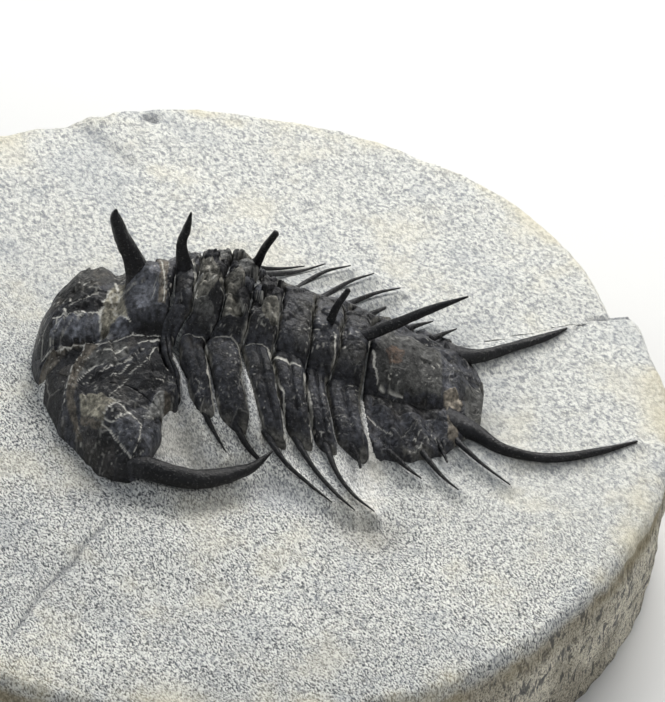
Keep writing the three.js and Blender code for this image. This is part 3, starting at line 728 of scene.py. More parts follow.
def painted(x, y, height, patches, veins, broken, edges=None):
    """Lays patches, veins and breakage on a plate. A patch is an outline, its tone, how far it stands
    up and how dull it is; a vein is a line and its half width; broken is how far the plate is cracked
    up, from 0 to 1; edges is where stone dust lies along its edges"""
    jog, _, _ = shards(x, y, 0.9, 60)
    wx = x + 0.14 * (jog - 0.5) + 0.07 * lumps(x, y, 0.7, 61) + 0.06 * lumps(x, y, 0.25, 62)
    wy = y + 0.14 * (0.5 - jog) + 0.07 * lumps(x, y, 0.7, 63) + 0.06 * lumps(x, y, 0.25, 64)
    tint = np.ones(x.shape + (3,)) * BLACK
    tint = tint * (1 + 0.32 * lumps(x, y, 2.3, 65) + 0.25 * lumps(x, y, 0.9, 66))[..., None]
    dull = np.zeros(x.shape)
    for outline, colour, rise, dullness in patches:
        inside = within(wx, wy, outline)
        share = ease(inside, -0.04, 0.05)
        tint = blended(tint, colour, share)
        dull = dull + (dullness - dull) * share
        height = height + rise * ease(inside, -0.08, 0.12)
    speckled = 1 + 0.40 * lumps(x, y, 0.6, 55) + 0.40 * lumps(x, y, 0.27, 56) + 0.3 * lumps(x, y, 0.13, 57)
    tint = tint * np.clip(speckled, 0.2, 2.4)[..., None]
    slab, slab_edge, slab_tilt = shards(wx, wy, 3.1, 72)
    chip, chip_edge, chip_tilt = shards(wx, wy, 0.85, 75)
    crushed = broken * patchy(x, y, 2.4, 78, -0.15, 0.45)
    tint = tint * (1 + 0.35 * broken * (slab - 0.5) + 0.7 * crushed * (chip - 0.5))[..., None]
    height = height + broken * (0.14 * (slab - 0.5) + 0.10 * slab_tilt) \
        + crushed * (0.22 * (chip - 0.5) + 0.40 * chip_tilt)
    height = height - 0.07 * broken * np.exp(-(slab_edge / 0.08) ** 2) \
        - 0.06 * crushed * np.exp(-(chip_edge / 0.06) ** 2)
    healed = patchy(x, y, 1.7, 79, 0.1, 0.5)
    vein = 0.5 * broken * healed * (1 - ease(slab_edge, 0.02, 0.09))
    chipped = crushed * patchy(x, y, 0.9, 80, 0.25, 0.6)
    vein = np.maximum(vein, 0.6 * chipped * (1 - ease(chip_edge, 0.02, 0.08)))
    flecks = patchy(x, y, 0.19, 47, 0.62, 0.85) * patchy(x, y, 1.6, 48, 0.0, 0.5)
    vein = np.maximum(vein, (0.35 + 0.45 * broken) * flecks)
    spalled = 0.4 * broken * patchy(x, y, 1.9, 82, 0.3, 0.55) * patchy(x, y, 0.5, 83, -0.4, 0.2)
    tint = blended(tint, BROWN_GREY * 0.6, spalled)
    dull = np.maximum(dull, spalled)
    fall = np.gradient(height, axis=1) / (np.gradient(y, axis=1) + 1e-6)
    steepness = np.sqrt(1 + np.clip(fall, -2.5, 2.5) ** 2)
    for line, half_width in veins:
        away = reach(x + (wx - x) / steepness, y + (wy - y) / steepness, line) * steepness \
            * (1 + 0.45 * lumps(x, y, 0.6, 58)) + 0.03 * lumps(x, y, 0.16, 59)
        strength = 0.65 + 0.35 * patchy(x, y, 0.8, 69, -0.5, 0.3)
        vein = np.maximum(vein, strength * (1 - ease(away, half_width * 0.7, half_width * 1.35)))
        height = height - 0.08 * np.exp(-(away / (half_width * 1.6)) ** 2)
    if edges is not None:
        dust = edges * ease(lumps(x, y, 0.9, 84) + 0.4 * lumps(x, y, 0.3, 85), -0.35, 0.45)
        tint = blended(tint, STONE_DUST, 0.6 * dust)
        dull = np.maximum(dull, dust)
    for rise, size, seed in ((0.05, 1.3, 67), (0.03, 0.45, 68), (0.016, 0.2, 70)):
        height = height + rise * lumps(x, y, size, seed)
    return height, {"tint": np.clip(tint, 0.002, 1), "dull": dull, "vein": vein}


# Head
# Three plates: the middle of the head with the glabella and the ring behind it, and a free cheek on
# either side. The left cheek was crushed into slabs that lie at different heights, with white seams.
CHEEK_SEAM = [
    (-17.0, 2.2), (-16.4, 4.4), (-15.4, 5.9), (-14.0, 6.8), (-12.4, 8.0), (-10.8, 9.8), (-9.4, 9.6),
    (-7.6, 10.2), (-4.6, 12.0),
]
CHEEK_FRONT = -15
HEAD_EDGE_WIDTH = 0.55
# Patches of the head's surface: outline, tone, how far the patch stands up, how dull it is
HEAD_PATCHES = [
    ([(-9.3, 3.3), (-10.0, 2.3), (-11.5, 1.0), (-13.2, -0.3), (-14.5, -0.5), (-15.6, 1.0), (-15.2, 4.5),
      (-13.0, 7.0), (-9.3, 7.2)], DULL_GREY * 0.27, -0.1, 0.8),
    ([(-8.7, 3.4), (-6.0, 3.6), (-5.3, 0.5), (-5.2, -1.3), (-7.4, -1.5), (-8.4, 0.0), (-9.0, 1.8)],
     SLATE * 0.9, 0.0, 0.6),
    ([(-6.4, 4.2), (-5.4, 3.4), (-5.1, 0.4), (-5.0, -1.4), (-5.7, -1.2), (-5.9, 1.4), (-6.6, 3.4)],
     BROWN_GREY * 0.9, 0.08, 0.9),
    ([(-14.4, -0.6), (-13.2, -0.4), (-11.5, 0.9), (-10.4, 0.9), (-10.7, -1.2), (-13.7, -1.3)],
     DEEP_BLACK, -0.12, 0.2),
    ([(-15.3, -2.2), (-14.9, -1.4), (-13.6, -1.6), (-10.8, -1.4), (-10.4, -2.9), (-12.2, -2.8)],
     SLATE * 1.25, 0.06, 0.6),
    ([(-10.8, -1.3), (-10.4, 1.0), (-9.5, 2.6), (-8.9, 1.8), (-9.1, 0.4), (-8.1, -2.2), (-9.5, -3.3),
      (-10.4, -2.9)], CREAM * 0.34, 0.1, 1.0),
    ([(-10.6, -0.9), (-10.3, 0.9), (-9.4, 1.6), (-9.1, 0.6), (-9.6, -0.6), (-10.0, -2.2)],
     CREAM * 0.6, 0.05, 1.0),
    ([(-9.9, -3.2), (-9.6, -2.0), (-9.1, -1.6), (-7.5, -2.5), (-8.2, -3.2)], SLATE * 0.85, 0.12, 0.6),
    ([(-16.6, -1.2), (-15.5, -2.1), (-14.1, -2.8), (-14.4, -3.6), (-16.0, -3.4)], BLACK, 0.15, 0.4),
    ([(-14.2, -2.9), (-11.8, -2.9), (-12.5, -4.0), (-14.0, -3.8)], BROWN_GREY * 0.75, 0, 0.7),
    ([(-16.6, -3.6), (-14.3, -3.1), (-11.9, -3.3), (-12.6, -5.0), (-12.9, -6.5), (-12.9, -8.2), (-13.3, -9.8),
      (-15.6, -9.2), (-17.2, -5.0)], DEEP_BLACK, -0.55, 0.3),
    ([(-16.2, -3.5), (-14.4, -3.0), (-13.4, -3.2), (-14.0, -4.0), (-15.8, -4.4)], BROWN_GREY * 0.6, 0.2, 0.6),
    ([(-11.6, -2.9), (-10.1, -4.4), (-9.7, -5.7), (-10.7, -5.9), (-12.0, -6.6), (-12.6, -6.1), (-12.5, -4.9)],
     DULL_GREY * 0.9, 0.0, 0.8),
    ([(-12.0, -6.7), (-10.7, -5.9), (-8.9, -6.4), (-7.9, -6.5), (-5.2, -4.7), (-4.0, -6.2), (-3.6, -8.3),
      (-4.5, -8.7), (-5.0, -9.5), (-7.5, -10.3), (-8.6, -9.2), (-10.3, -8.5), (-11.5, -8.3)],
     DEEP_BLACK * 0.9, -0.04, 0.2),
    ([(-8.2, -8.7), (-7.1, -7.2), (-5.7, -5.4), (-5.1, -4.1), (-3.6, -4.8), (-3.6, -8.3), (-4.5, -8.7),
      (-5.0, -9.5), (-7.5, -10.3), (-8.6, -9.3)], DEEP_BLACK * 0.9, 0.12, 0.2),
    ([(-10.3, -4.2), (-9.4, -3.6), (-7.5, -3.9), (-7.7, -5.1), (-8.5, -6.3), (-9.6, -5.7)],
     DULL_GREY * 1.2, 0.05, 0.9),
    ([(-11.2, -10.6), (-8.6, -11.9), (-6.8, -13.3), (-5.8, -14.0), (-5.1, -15.6), (-7.0, -15.8),
      (-9.6, -14.4), (-11.6, -12.0)], DEEP_BLACK * 1.3, 0.05, 0.3),
    ([(-7.5, -2.5), (-6.1, -2.3), (-3.9, -2.4), (-3.9, -3.3), (-5.0, -3.7), (-7.1, -3.7)],
     DEEP_BLACK, -0.1, 0.2),
    ([(-11.6, -2.9), (-12.4, -4.8), (-12.7, -6.8), (-12.5, -8.1), (-11.0, -10.9), (-10.5, -11.4),
      (-11.7, -8.3), (-11.9, -6.5), (-11.2, -5.0), (-10.5, -3.7)], BROWN_GREY * 0.6, 0.2, 0.9),
    ([(-11.3, -8.3), (-10.3, -8.5), (-9.3, -8.7), (-8.5, -9.5), (-7.8, -9.7), (-8.5, -10.8), (-8.7, -11.6),
      (-9.4, -11.0), (-10.9, -9.6)], CREAM * 0.5, 0.08, 1.0),
    ([(-10.9, -9.6), (-9.4, -11.1), (-8.7, -11.6), (-8.1, -12.1), (-9.7, -11.5), (-10.8, -10.3)],
     BROWN_GREY * 0.6, 0.03, 0.8),
    ([(-8.5, -11.1), (-7.8, -9.9), (-6.6, -10.6), (-6.6, -11.1), (-7.9, -11.7)], DEEP_BLACK * 1.2, 0.12, 0.2),
    ([(-8.2, -12.1), (-7.9, -11.9), (-6.5, -11.2), (-5.3, -11.5), (-5.2, -12.3), (-5.4, -13.8), (-5.9, -14.0),
      (-6.7, -13.3)], SLATE * 0.6, 0.1, 0.5),
    ([(-5.3, -10.8), (-4.7, -9.6), (-4.4, -8.5), (-3.8, -8.4), (-3.5, -9.5), (-3.8, -10.3), (-4.6, -10.8)],
     DULL_GREY * 1.9, 0.1, 1.0),
    ([(-3.8, -8.4), (-2.6, -8.6), (-1.8, -10.3), (-2.7, -11.1), (-3.8, -10.3), (-3.5, -9.5)],
     BROWN_GREY * 0.6, 0.03, 0.8),
    ([(-5.2, -11.3), (-3.7, -10.7), (-2.8, -11.1), (-3.3, -12.5), (-3.2, -13.4), (-4.7, -13.9),
      (-5.2, -13.3)], SLATE * 0.45, 0.03, 0.6),
]
# White veins on the head: line, half width
HEAD_VEINS = [
    ([(-15.0, -1.1), (-13.7, -1.45), (-10.7, -1.3)], 0.08),
    ([(-13.6, -0.6), (-12.6, -0.2), (-11.4, 0.6)], 0.07),
    ([(-15.6, -2.7), (-14.3, -3.0), (-13.1, -3.15), (-11.5, -3.2)], 0.07),
    ([(-11.5, -3.2), (-10.2, -3.6), (-8.9, -3.5), (-7.8, -3.1), (-7.4, -2.6)], 0.05),
    ([(-10.4, 0.9), (-10.8, -1.3), (-10.4, -2.9)], 0.10),
    ([(-9.3, 0.6), (-9.6, -1.0), (-9.1, -1.5), (-7.9, -2.3)], 0.07),
    ([(-9.9, 2.2), (-9.6, 1.0), (-10.2, 0.2), (-9.8, -0.6)], 0.09),
    ([(-9.6, 1.0), (-9.0, 0.4)], 0.07),
    ([(-11.6, -3.0), (-12.5, -5.0), (-12.6, -6.1), (-12.8, -7.1), (-12.8, -7.8)], 0.05),
    ([(-12.0, -6.6), (-10.7, -5.9), (-9.7, -5.7)], 0.04),
    ([(-8.8, -11.6), (-8.0, -12.2), (-6.7, -13.3), (-5.7, -14.0)], 0.06),
    ([(-6.5, -10.8), (-5.3, -11.6), (-5.2, -12.9), (-5.5, -13.9)], 0.04),
    ([(-8.6, -11.1), (-7.8, -9.9), (-6.5, -10.7), (-7.9, -11.8), (-8.6, -11.4)], 0.06),
    ([(-7.8, -9.9), (-8.7, -9.2), (-8.2, -8.7), (-7.1, -7.2), (-5.7, -5.4), (-5.1, -4.1)], 0.05),
    ([(-5.1, -4.1), (-4.5, -5.1), (-3.6, -6.1)], 0.04),
    ([(-7.5, -2.9), (-5.9, -2.9), (-4.7, -2.9)], 0.06),
    ([(-6.9, -3.8), (-5.6, -3.4), (-3.6, -2.8)], 0.09),
    ([(-6.5, 4.0), (-5.9, 2.4), (-5.3, 0.4), (-5.2, -1.2)], 0.06),
    ([(-9.4, -6.3), (-8.4, -6.1), (-7.1, -5.6)], 0.05),
    ([(-8.9, -7.0), (-7.9, -6.7), (-7.3, -6.0)], 0.04),
    ([(-9.8, -4.3), (-8.9, -4.8), (-7.9, -4.4)], 0.06),
]


def head_height(x, y, side, margin):
    """The glabella and the ring behind it in the middle, with the cheeks arched down outside"""
    lobe = along(AXIS, x)
    edge = np.maximum(margin, lobe + 1)
    field = field_height(x, side, lobe, edge, MARGIN_HEIGHT)
    field = MARGIN_HEIGHT + (field - MARGIN_HEIGHT) * ease(x, HEAD_FRONT, HEAD_FRONT + 2.4)
    eye = 0.8 * np.exp(-((x + 10.6) / 1.3) ** 2 - ((side - 10.4) / 1.2) ** 2)
    root = 1.5 * np.exp(-(reach(x, side, [(-9.0, 13.0), (-6.2, 14.7), (-4.8, 15.6)]) / 1.6) ** 2)
    ring_root = 1.3 * np.exp(-((x + 7.3) / 1.5) ** 2 - ((y - MIDLINE_Y) / 1.7) ** 2)
    height = np.where(side < lobe, lobe_height(x, side, lobe), field) + eye + root + ring_root
    return pressed_down(x, y, height)


def rolled_edge(inside, width, depth):
    """How far the shell turns down near an edge, by the distance inside it"""
    t = np.clip(1 - inside / width, 0, 1)
    return depth * (1 - np.sqrt(np.clip(1 - t * t, 0, 1)))


def spread(share, crowding):
    """Steps from 0 to 1 that crowd together towards both ends"""
    return share - crowding * np.sin(2 * math.pi * share) / (2 * math.pi)


# The head's rear edge on the left: distance from the midline, x. It overlaps the tip of the first
# segment and draws in again towards the cheek spine
LEFT_REAR = [
    (0.0, -4.6), (4.7, -4.7), (6.2, -5.0), (7.2, -4.4), (8.1, -3.75), (9.0, -3.1), (9.7, -2.4), (10.2, -2.9),
    (10.8, -3.7), (12.1, -3.6), (12.9, -3.3), (14.2, -3.9), (16.0, -4.6),
]


def head_rear_shift(side, left):
    """How far the head's rear edge lies behind its straight line at a distance from the midline"""
    wander = 0.12 * lumps(side, 0 * side, 0.8, 46)
    right_shift = swept_back(side) * (1 - ease(side, 9.6, 11.8))
    return np.where(left, along(LEFT_REAR, side) - HEAD_REAR, right_shift) + wander


def head_middle():
    """The middle of the head as far out as the cheek seams, with the spine of the ring behind it"""
    u, v = np.meshgrid(spread(np.linspace(0, 1, 120), 0.5), np.linspace(-1, 1, 230), indexing="ij")
    x = HEAD_FRONT + (HEAD_REAR - HEAD_FRONT) * u
    seam = np.maximum(along(CHEEK_SEAM, x) - 0.005, along(AXIS, x) + 0.2)
    y = MIDLINE_Y + v * seam
    side = np.abs(y - MIDLINE_Y)
    height = head_height(x, y, side, along(MARGIN, x) * np.where(v > 0, RIGHT_CHEEK_WIDTH, 1))
    height = height - rolled_edge(x - HEAD_FRONT, 0.8, 1.6) - rolled_edge(HEAD_REAR - x, 0.4, 0.8)
    height = height - rolled_edge(seam - side, 0.08, 0.03) * (x > -15)
    height = height - rolled_edge(seam - side, 0.5, 1.6) * (x <= -15)
    x = x + head_rear_shift(side, v < 0) * ease(u, 0.45, 1)
    height, marks = painted(x, y, height, HEAD_PATCHES, HEAD_VEINS, 1.0)
    shell_plate("head_middle", "cranidium", x, y, height, marks, [
        [(-7.5, 2, 8.9, 1.8), (-8.4, 2, 12.0, 1.1), (-9.6, 2, 14.6, 0.85), (-10.3, 2, 16.6, 0.6),
         (-10.3, 2, 17.6, 0.15)],
    ])


def free_cheek(name, node, side_sign, width, spine_points):
    """A free cheek outside its seam: side_sign is -1 on the left and 1 on the right"""
    u, v = np.meshgrid(spread(np.linspace(0, 1, 110), 0.5), np.linspace(0, 1, 80), indexing="ij")
    v = v if side_sign > 0 else 1 - v
    x = CHEEK_FRONT + (HEAD_REAR - CHEEK_FRONT) * u
    margin = along(MARGIN, np.minimum(x, -4.95)) * width
    inner = along(CHEEK_SEAM, x) + 0.005
    outer = np.maximum(margin, inner + 0.5)
    side = inner + (outer - inner) * (1 - (1 - v) ** 1.25)
    y = MIDLINE_Y + side_sign * side
    height = head_height(x, y, side, margin)
    wave = 0.12 * lumps(x, y, 1.6, 81)
    height = height - rolled_edge(outer - side + wave, HEAD_EDGE_WIDTH, 1.7)
    height = height - rolled_edge(side - inner, 0.08, 0.03)
    height = height - rolled_edge((HEAD_REAR - x) + 0.1 * lumps(x, y, 0.9, 86), 0.5, 1.6)
    x = x + head_rear_shift(side, side_sign < 0) * ease(u, 0.45, 1)
    height, marks = painted(x, y, height, HEAD_PATCHES, HEAD_VEINS, 0.5)
    shell_plate(name, node, x, y, height, marks, [spine_points])


head_middle()
free_cheek("left_cheek", "left_free_cheek", -1, 1.0, [
    (-7.6, -12.2, 0.8, 1.0), (-5.6, -13.3, 1.7, 1.35), (-4.0, -14.0, 2.0, 1.2), (-1.9, -14.5, 2.0, 1.1),
    (0.1, -14.5, 1.9, 1.05), (1.8, -14.0, 1.9, 0.95), (3.5, -13.2, 2.1, 0.75), (4.9, -12.4, 2.4, 0.52),
    (6.4, -10.9, 3.2, 0.12)])
free_cheek("right_cheek", "right_free_cheek", 1, RIGHT_CHEEK_WIDTH, [
    (-7.4, 12.8, 0.8, 0.8), (-5.6, 13.7, 1.4, 1.0), (-3.6, 14.3, 1.6, 0.85), (-1.4, 14.5, 1.5, 0.7),
    (0.8, 14.4, 1.3, 0.5), (2.8, 13.9, 1.2, 0.12)])

# Thorax
# Seven segments, each an arched ring with a grooved pleura on either side that ends in a spine. The
# rings of the second to fourth are crushed, and brown-grey stone fills them.
CRUSHED_SEGMENTS = (1, 2, 3)
SEGMENT_EDGES = [-4.4, -2.5, 0, 2.6, 5.2, 8.2, 10.8, 13.4]
# Half width, height at the tips, then how far the left pleura's front edge is shifted back at the
# furrow and at the tip, and the same for its back edge
PLEURAE = [
    (9.6, 4.8, -0.95, -0.15, -1.6, -1.0), (10.8, 4.5, -1.0, -0.4, -1.05, -1.0),
    (11.2, 4.1, -1.05, -1.0, -0.5, -0.5),
    (11.8, 3.3, -0.5, 0.5, -0.1, 0.0), (11.2, 2.9, -0.1, 0.0, 0.0, -0.3), (11.0, 2.5, 0.0, -0.3, -0.6, -0.6),
    (10.3, 2.1, -0.6, -0.6, -0.2, -0.1),
]
# Depth of the groove along each pleura
GROOVE_DEPTHS = [0.3, 0.18, 0.05, 0.3, 0.36, 0.28, 0.36]
# The spines of each segment, as points of x, y, height and radius: on the ring, on the left, on the right
SEGMENT_SPINES = [
    [
        [(-3.5, 2, 10.8, 1.2), (-4.2, 2, 14.2, 0.6), (-3.9, 2, 16.4, 0.45), (-3.6, 2, 18.4, 0.12)],
    ],
    [
        [(-0.3, -8.0, 4.4, 0.5), (0.9, -9.5, 3.5, 0.32), (2.3, -10.9, 2.4, 0.1)],
        [(1.0, 12.6, 4.4, 0.45), (3.4, 15.0, 2.6, 0.3), (6.0, 17.7, 1.2, 0.1)],
    ],
    [
        [(1.9, 4.6, 10.2, 0.8), (2.6, 3.9, 12.6, 0.5), (3.2, 3.3, 14.7, 0.42), (4.0, 2.9, 16.7, 0.36)],
        [(2.6, -8.4, 4.0, 0.55), (3.8, -9.9, 3.0, 0.45), (5.4, -10.9, 1.9, 0.3), (6.9, -11.4, 1.1, 0.1)],
        [(3.0, 12.4, 4.0, 0.45), (5.3, 15.4, 2.2, 0.3), (7.9, 18.6, 1.1, 0.1)],
    ],
    [
        [(3.7, 1.0, 9.4, 0.55), (3.5, 0.9, 11.0, 0.4), (3.6, 0.8, 12.3, 0.3)],
        [(5.9, -9.4, 3.4, 0.5), (7.6, -11.2, 2.5, 0.35), (9.9, -12.6, 1.6, 0.28), (12.3, -13.9, 0.9, 0.1)],
        [(5.6, 12.6, 2.4, 0.45), (7.8, 16.2, 1.9, 0.3), (10.3, 19.0, 1.0, 0.1)],
    ],
    [
        [(8.3, -8.7, 3.0, 0.5), (10.1, -10.9, 2.1, 0.35), (12.4, -13.0, 1.3, 0.28), (14.4, -14.5, 0.9, 0.1)],
        [(8.3, 12.2, 2.3, 0.45), (10.4, 15.5, 1.8, 0.3), (12.6, 18.3, 1.0, 0.1)],
    ],
    [
        [(9.6, 1.2, 8.2, 0.5), (10.1, 1.4, 10.2, 0.42), (11.0, 2, 12.1, 0.3)],
        [(10.9, -8.3, 2.7, 0.5), (12.2, -10.8, 1.9, 0.35), (14.0, -12.9, 1.3, 0.28), (16.1, -14.3, 0.9, 0.1)],
        [(10.8, 11.8, 2.3, 0.45), (13.0, 14.6, 1.6, 0.3), (15.3, 16.7, 1.0, 0.1)],
    ],
    [
        [(12.0, 1.4, 6.9, 0.8), (14.1, 1.7, 8.1, 0.65), (16.4, 2, 9.5, 0.55), (18.9, 2, 11.4, 0.42),
         (21.7, 2, 13.2, 0.1)],
        [(13.4, -7.8, 2.2, 0.5), (14.0, -8.8, 1.8, 0.32), (14.3, -9.6, 1.5, 0.2)],
        [(13.0, 11.2, 1.9, 0.45), (14.2, 12.9, 1.5, 0.25)],
    ],
]
# White seams between and along the pleurae: line, half width
THORAX_VEINS = [
    ([(-0.9, -3.6), (-0.1, -6.4), (0.9, -8.5)], 0.14),
    ([(2.3, -3.7), (3.3, -6.6), (4.3, -8.9)], 0.18),
    ([(4.7, -3.1), (6.7, -6.2), (7.3, -9.3)], 0.11),
    ([(8.3, -3.9), (9.3, -6.3), (9.7, -8.7)], 0.10),
    ([(-3.2, 2.6), (-2.6, 0.4), (-2.3, -1.6)], 0.14),
    ([(10.3, 0.2), (10.7, -1.6), (10.2, -2.4)], 0.07),
    ([(-0.2, -2.9), (1.2, -2.7), (2.3, -3.5)], 0.07),
    ([(4.9, -3.0), (6.4, -3.2), (7.6, -3.4)], 0.10),
    ([(2.7, -2.9), (3.8, -2.8), (4.7, -2.9)], 0.06),
    ([(-3.9, -2.9), (-2.6, -2.8), (-0.8, -3.0)], 0.06),
]


def wavy_seam(y, number):
    """How far the seam in front of a segment wanders along the animal"""
    row = 0 * y + 3.7 * number
    return 0.20 * lumps(y, row, 1.2, 33) + 0.08 * lumps(y, row, 0.4, 34)


def segment(index, spines):
    """One segment from tip to tip; u runs from its front edge to its back edge, v from left to right"""
    edge, tip, front_root, front_tip, back_root, back_tip = PLEURAE[index]
    front, back = SEGMENT_EDGES[index] + 0.05, SEGMENT_EDGES[index + 1] - 0.05
    middle = (front + back) / 2
    lobe = along(AXIS, np.array(middle))
    u, v = np.meshgrid(spread(np.linspace(0, 1, 34), 0.6), np.linspace(-1, 1, 300), indexing="ij")
    side = np.abs(v) * edge
    out = np.clip((side - lobe) / (edge - lobe), 0, 1)
    left = ease(side, lobe - 1.2, lobe + 0.8) * (v < 0)
    start = front + (front_root + (front_tip - front_root) * out) * left
    start = start - 0.5 * (index == 0) * (v > 0) * ease(side, lobe - 0.2, lobe + 1.5)
    stop = back + (back_root + (back_tip - back_root) * out) * left
    y = MIDLINE_Y + v * edge
    start, stop = start + wavy_seam(y, index), stop + wavy_seam(y, index + 1)
    narrowing = np.sqrt(np.clip(1 - (np.clip(out - 0.86, 0, 1) / 0.15) ** 2, 0.02, 1)) * (1 - 0.06 * out)
    centre = (start + stop) / 2 + 0.25 * (stop - start) * (1 - narrowing)
    x = centre + (u - 0.5) * (stop - start) * narrowing + swept_back(side)
    station = middle + 0.55 * (u - 0.5) * (back - front)
    arch = np.clip(1 - np.abs(2 * u - 1) ** 4.5, 0, 1) ** 0.6
    ring = lobe_height(station, side, lobe) + 0.75 * arch - 0.65
    groove = GROOVE_DEPTHS[index] * np.exp(-((u - 0.50 - 0.1 * out) / 0.055) ** 2) \
        * ease(out, 0.0, 0.12) * (1 - ease(out, 0.7, 0.95))
    pleura = field_height(station, side, lobe, edge, tip) + 0.95 * arch - 0.75 - groove
    pleura = pleura - rolled_edge(edge - side, 1.1, 1.8)
    blend = ease(side, lobe - 0.25, lobe + 0.15)
    height = pressed_down(x, y, ring * (1 - blend) + pleura * blend)
    height = height + 0.045 * lumps(u * 14, side * 0.35, 1.0, 91 + index) * blend
    crushed = (1 - ease(side, lobe - 1.0, lobe + 0.1)) * (1.0 if index in CRUSHED_SEGMENTS else 0.35)
    value, to_edge, block_tilt = shards(x + 0.1 * lumps(x, y, 1, 93), y, 1.7, 94)
    splinter, _, splinter_tilt = shards(x, y, 0.55, 96)
    height = height + crushed * (0.55 * (value - 0.55) + 0.6 * block_tilt + 0.25 * (splinter - 0.5)
                                 + 0.45 * splinter_tilt - 0.15 * np.exp(-(to_edge / 0.08) ** 2))
    seam_dust = np.maximum(ease(np.abs(2 * u - 1), 0.8, 0.97), ease(side, edge - 0.9, edge - 0.2))
    height, marks = painted(x, y, height, [], THORAX_VEINS, 0.3 + 0.3 * (index < 2), seam_dust)
    marks["tint"] = marks["tint"] * 0.88
    fill = np.where((value > 0.42)[..., None], DULL_GREY * 0.8, DEEP_BLACK)
    fill = np.where((value > 0.66)[..., None], tone(95, 93, 86), fill)
    fill = np.where((value > 0.9)[..., None], SLATE * 0.6, fill)
    fill = fill * (1 + 1.1 * (splinter - 0.5) + 0.3 * lumps(x, y, 0.3, 97))[..., None]
    share = crushed * (0.95 if index in CRUSHED_SEGMENTS else 0.5)
    marks["tint"] = blended(marks["tint"], fill, share)
    healed = crushed * (1 - ease(to_edge, 0.02, 0.08)) * patchy(x, y, 1.1, 98, -0.1, 0.4)
    marks["vein"] = np.maximum(marks["vein"], 0.6 * healed * (index in CRUSHED_SEGMENTS))
    marks["dull"] = np.maximum(marks["dull"], 0.8 * share)
    shell_plate(f"segment_{index + 1}", f"thoracic_segment_{index + 1}", x, y, height, marks, spines)


for segment_index, segment_spines in enumerate(SEGMENT_SPINES):
    segment(segment_index, segment_spines)

# Tail shield
# One plate of fused segments. The lobe down its middle has lost its outer shell and shows grey, the
# side fields keep low ribs, and the fifth pair of spines on its margin is by far the longest.
# Its patches, veins and spines are given in the same way as those of the head and thorax
TAIL_PATCHES = [
    ([(14.0, 0.6), (15.0, 3.6), (19.8, 6.0), (20.6, -0.6), (17.0, -1.7), (15.6, -1.8), (14.8, -2.0)],
     DULL_GREY * 0.62, 0.0, 0.8),
    # The deep black sunken patch along the near side of the lobe is painted shade in the furrow there
    ([(14.4, -2.1), (15.7, -2.1), (17.2, -1.9), (20.4, -0.9), (20.9, -1.8), (20.2, -2.9), (16.5, -3.9),
      (14.6, -3.7)], DEEP_BLACK, -0.25, 0.2),
    ([(15.0, 1.0), (15.9, 2.2), (16.7, 1.9), (16.6, 0.4), (15.5, -0.2)], tone(82, 68, 58), 0.03, 0.9),
    ([(20.8, -0.2), (21.6, 0.6), (22.6, 0.0), (22.1, -1.9), (21.1, -1.6)], BROWN_GREY * 1.25, 0.25, 1.0),
    ([(21.2, -1.8), (22.2, -2.0), (22.7, -4.2), (21.7, -4.5)], BROWN_GREY * 0.75, 0.1, 0.9),
    ([(22.6, 2.0), (24.4, 4.2), (24.6, -0.8), (23.0, -1.8)], DULL_GREY * 0.6, 0.0, 0.7),
]
TAIL_VEINS = [
    ([(13.9, 0.4), (14.3, -1.0), (14.8, -1.9), (15.6, -1.9), (17.1, -1.7)], 0.10),
    ([(14.3, -4.7), (15.5, -5.4), (16.7, -6.0)], 0.05),
]
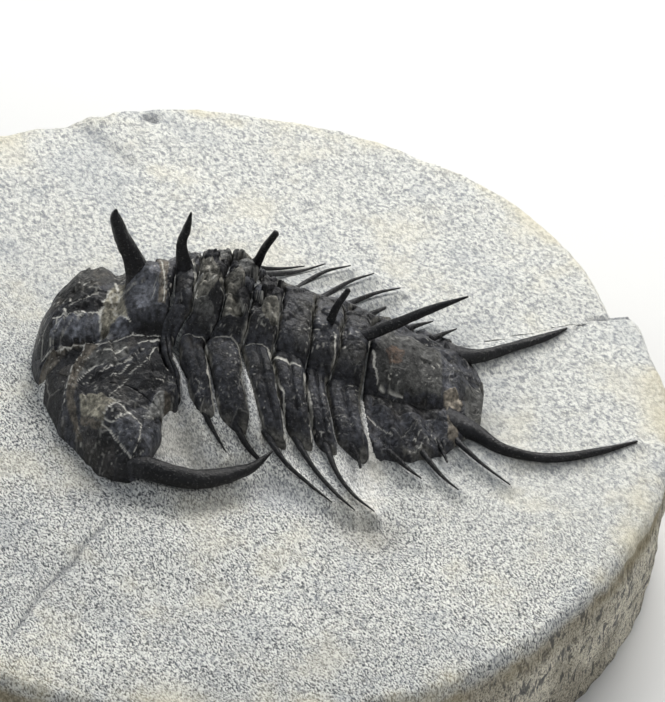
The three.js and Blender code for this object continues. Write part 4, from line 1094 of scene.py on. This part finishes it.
TAIL_SPINES = [
    [(16.6, -6.9, 1.6, 0.5), (18.2, -8.2, 1.2, 0.35), (19.8, -9.2, 0.9, 0.1)],
    [(19.4, -6.1, 1.5, 0.5), (21.4, -8.5, 1.1, 0.3), (23.2, -10.0, 0.9, 0.1)],
    [(21.0, -5.0, 1.4, 0.4), (21.9, -6.7, 1.0, 0.15)],
    [(22.3, -3.9, 1.4, 0.5), (24.8, -6.2, 1.1, 0.28), (27.7, -8.4, 0.9, 0.1)],
    [(21.8, -2.0, 1.5, 1.2), (24.0, -2.5, 1.3, 0.75), (26.4, -3.9, 1.1, 0.5), (29.2, -4.5, 1.1, 0.42),
     (32.0, -4.1, 1.1, 0.4), (35.4, -2.5, 1.1, 0.32), (38.7, -0.5, 1.1, 0.1)],
    [(17.0, 10.6, 1.6, 0.45), (18.8, 12.5, 1.0, 0.1)],
    [(19.4, 9.8, 1.5, 0.45), (21.1, 11.9, 1.0, 0.1)],
    [(21.2, 7.4, 1.5, 1.0), (23.6, 8.3, 1.2, 0.6), (26.4, 10.2, 1.1, 0.45), (29.4, 12.3, 1.1, 0.35),
     (31.3, 14.0, 1.1, 0.1)],
]


def tail_shield():
    """The tail shield from its front edge to its end; u runs back, v from left to right"""
    u, v = np.meshgrid(np.linspace(0, 1, 120), np.linspace(-1, 1, 220), indexing="ij")
    station = TAIL_FRONT - 0.1 + (24.4 - TAIL_FRONT + 0.1) * u
    margin = along(MARGIN, np.maximum(station, 13.95))
    v = np.sign(v) * (1 - (1 - np.abs(v)) ** 1.2)
    side = np.abs(v) * margin
    x = station + swept_back(side) * (1 - u) ** 2
    y = MIDLINE_Y + v * margin
    lobe = along(AXIS, x)
    close = 1 - ease(x, 22.6, TAIL_END)
    ring = 0.16 * np.cos((x - 14.8) * 2.6)
    rib_line = (x - 0.55 * (side - lobe) - 14.6) * 2.4
    rib = 0.45 * np.cos(rib_line) * np.sin(math.pi * np.clip((side - lobe) / (margin - lobe), 0, 1))
    furrow = 0.45 * np.exp(-((side - lobe - 0.3) / 0.55) ** 2) * (1 - ease(x, 20, 22))
    field = field_height(x, side, lobe, margin, 1.3) + rib - furrow
    blend = ease(side, lobe - 0.2, lobe + 0.2)
    height = (lobe_height(x, side, lobe) + ring) * (1 - blend) + field * blend
    height = pressed_down(x, y, 1.3 + (height - 1.3) * close)
    height = height - rolled_edge(margin - side + 0.15 * lumps(x, y, 1.2, 101), 0.7, 2.0)
    height = height - rolled_edge(TAIL_END - station, 0.6, 1.6)
    height = height - rolled_edge(station - TAIL_FRONT + 0.1, 0.5, 0.9)
    value, to_edge, tilt = shards(x, y, 1.1, 102)
    rough = ease(side, margin - 3.0, margin - 0.6)
    height = height + rough * (0.18 * (value - 0.5) + 0.35 * tilt + 0.10 * lumps(x, y, 0.8, 103))
    edge_dust = ease(side, margin - 1.2, margin - 0.3)
    height, marks = painted(x, y, height, TAIL_PATCHES, TAIL_VEINS, 0.4, edge_dust)
    shell_plate("tail", "pygidium", x, y, height, marks, TAIL_SPINES)


tail_shield()
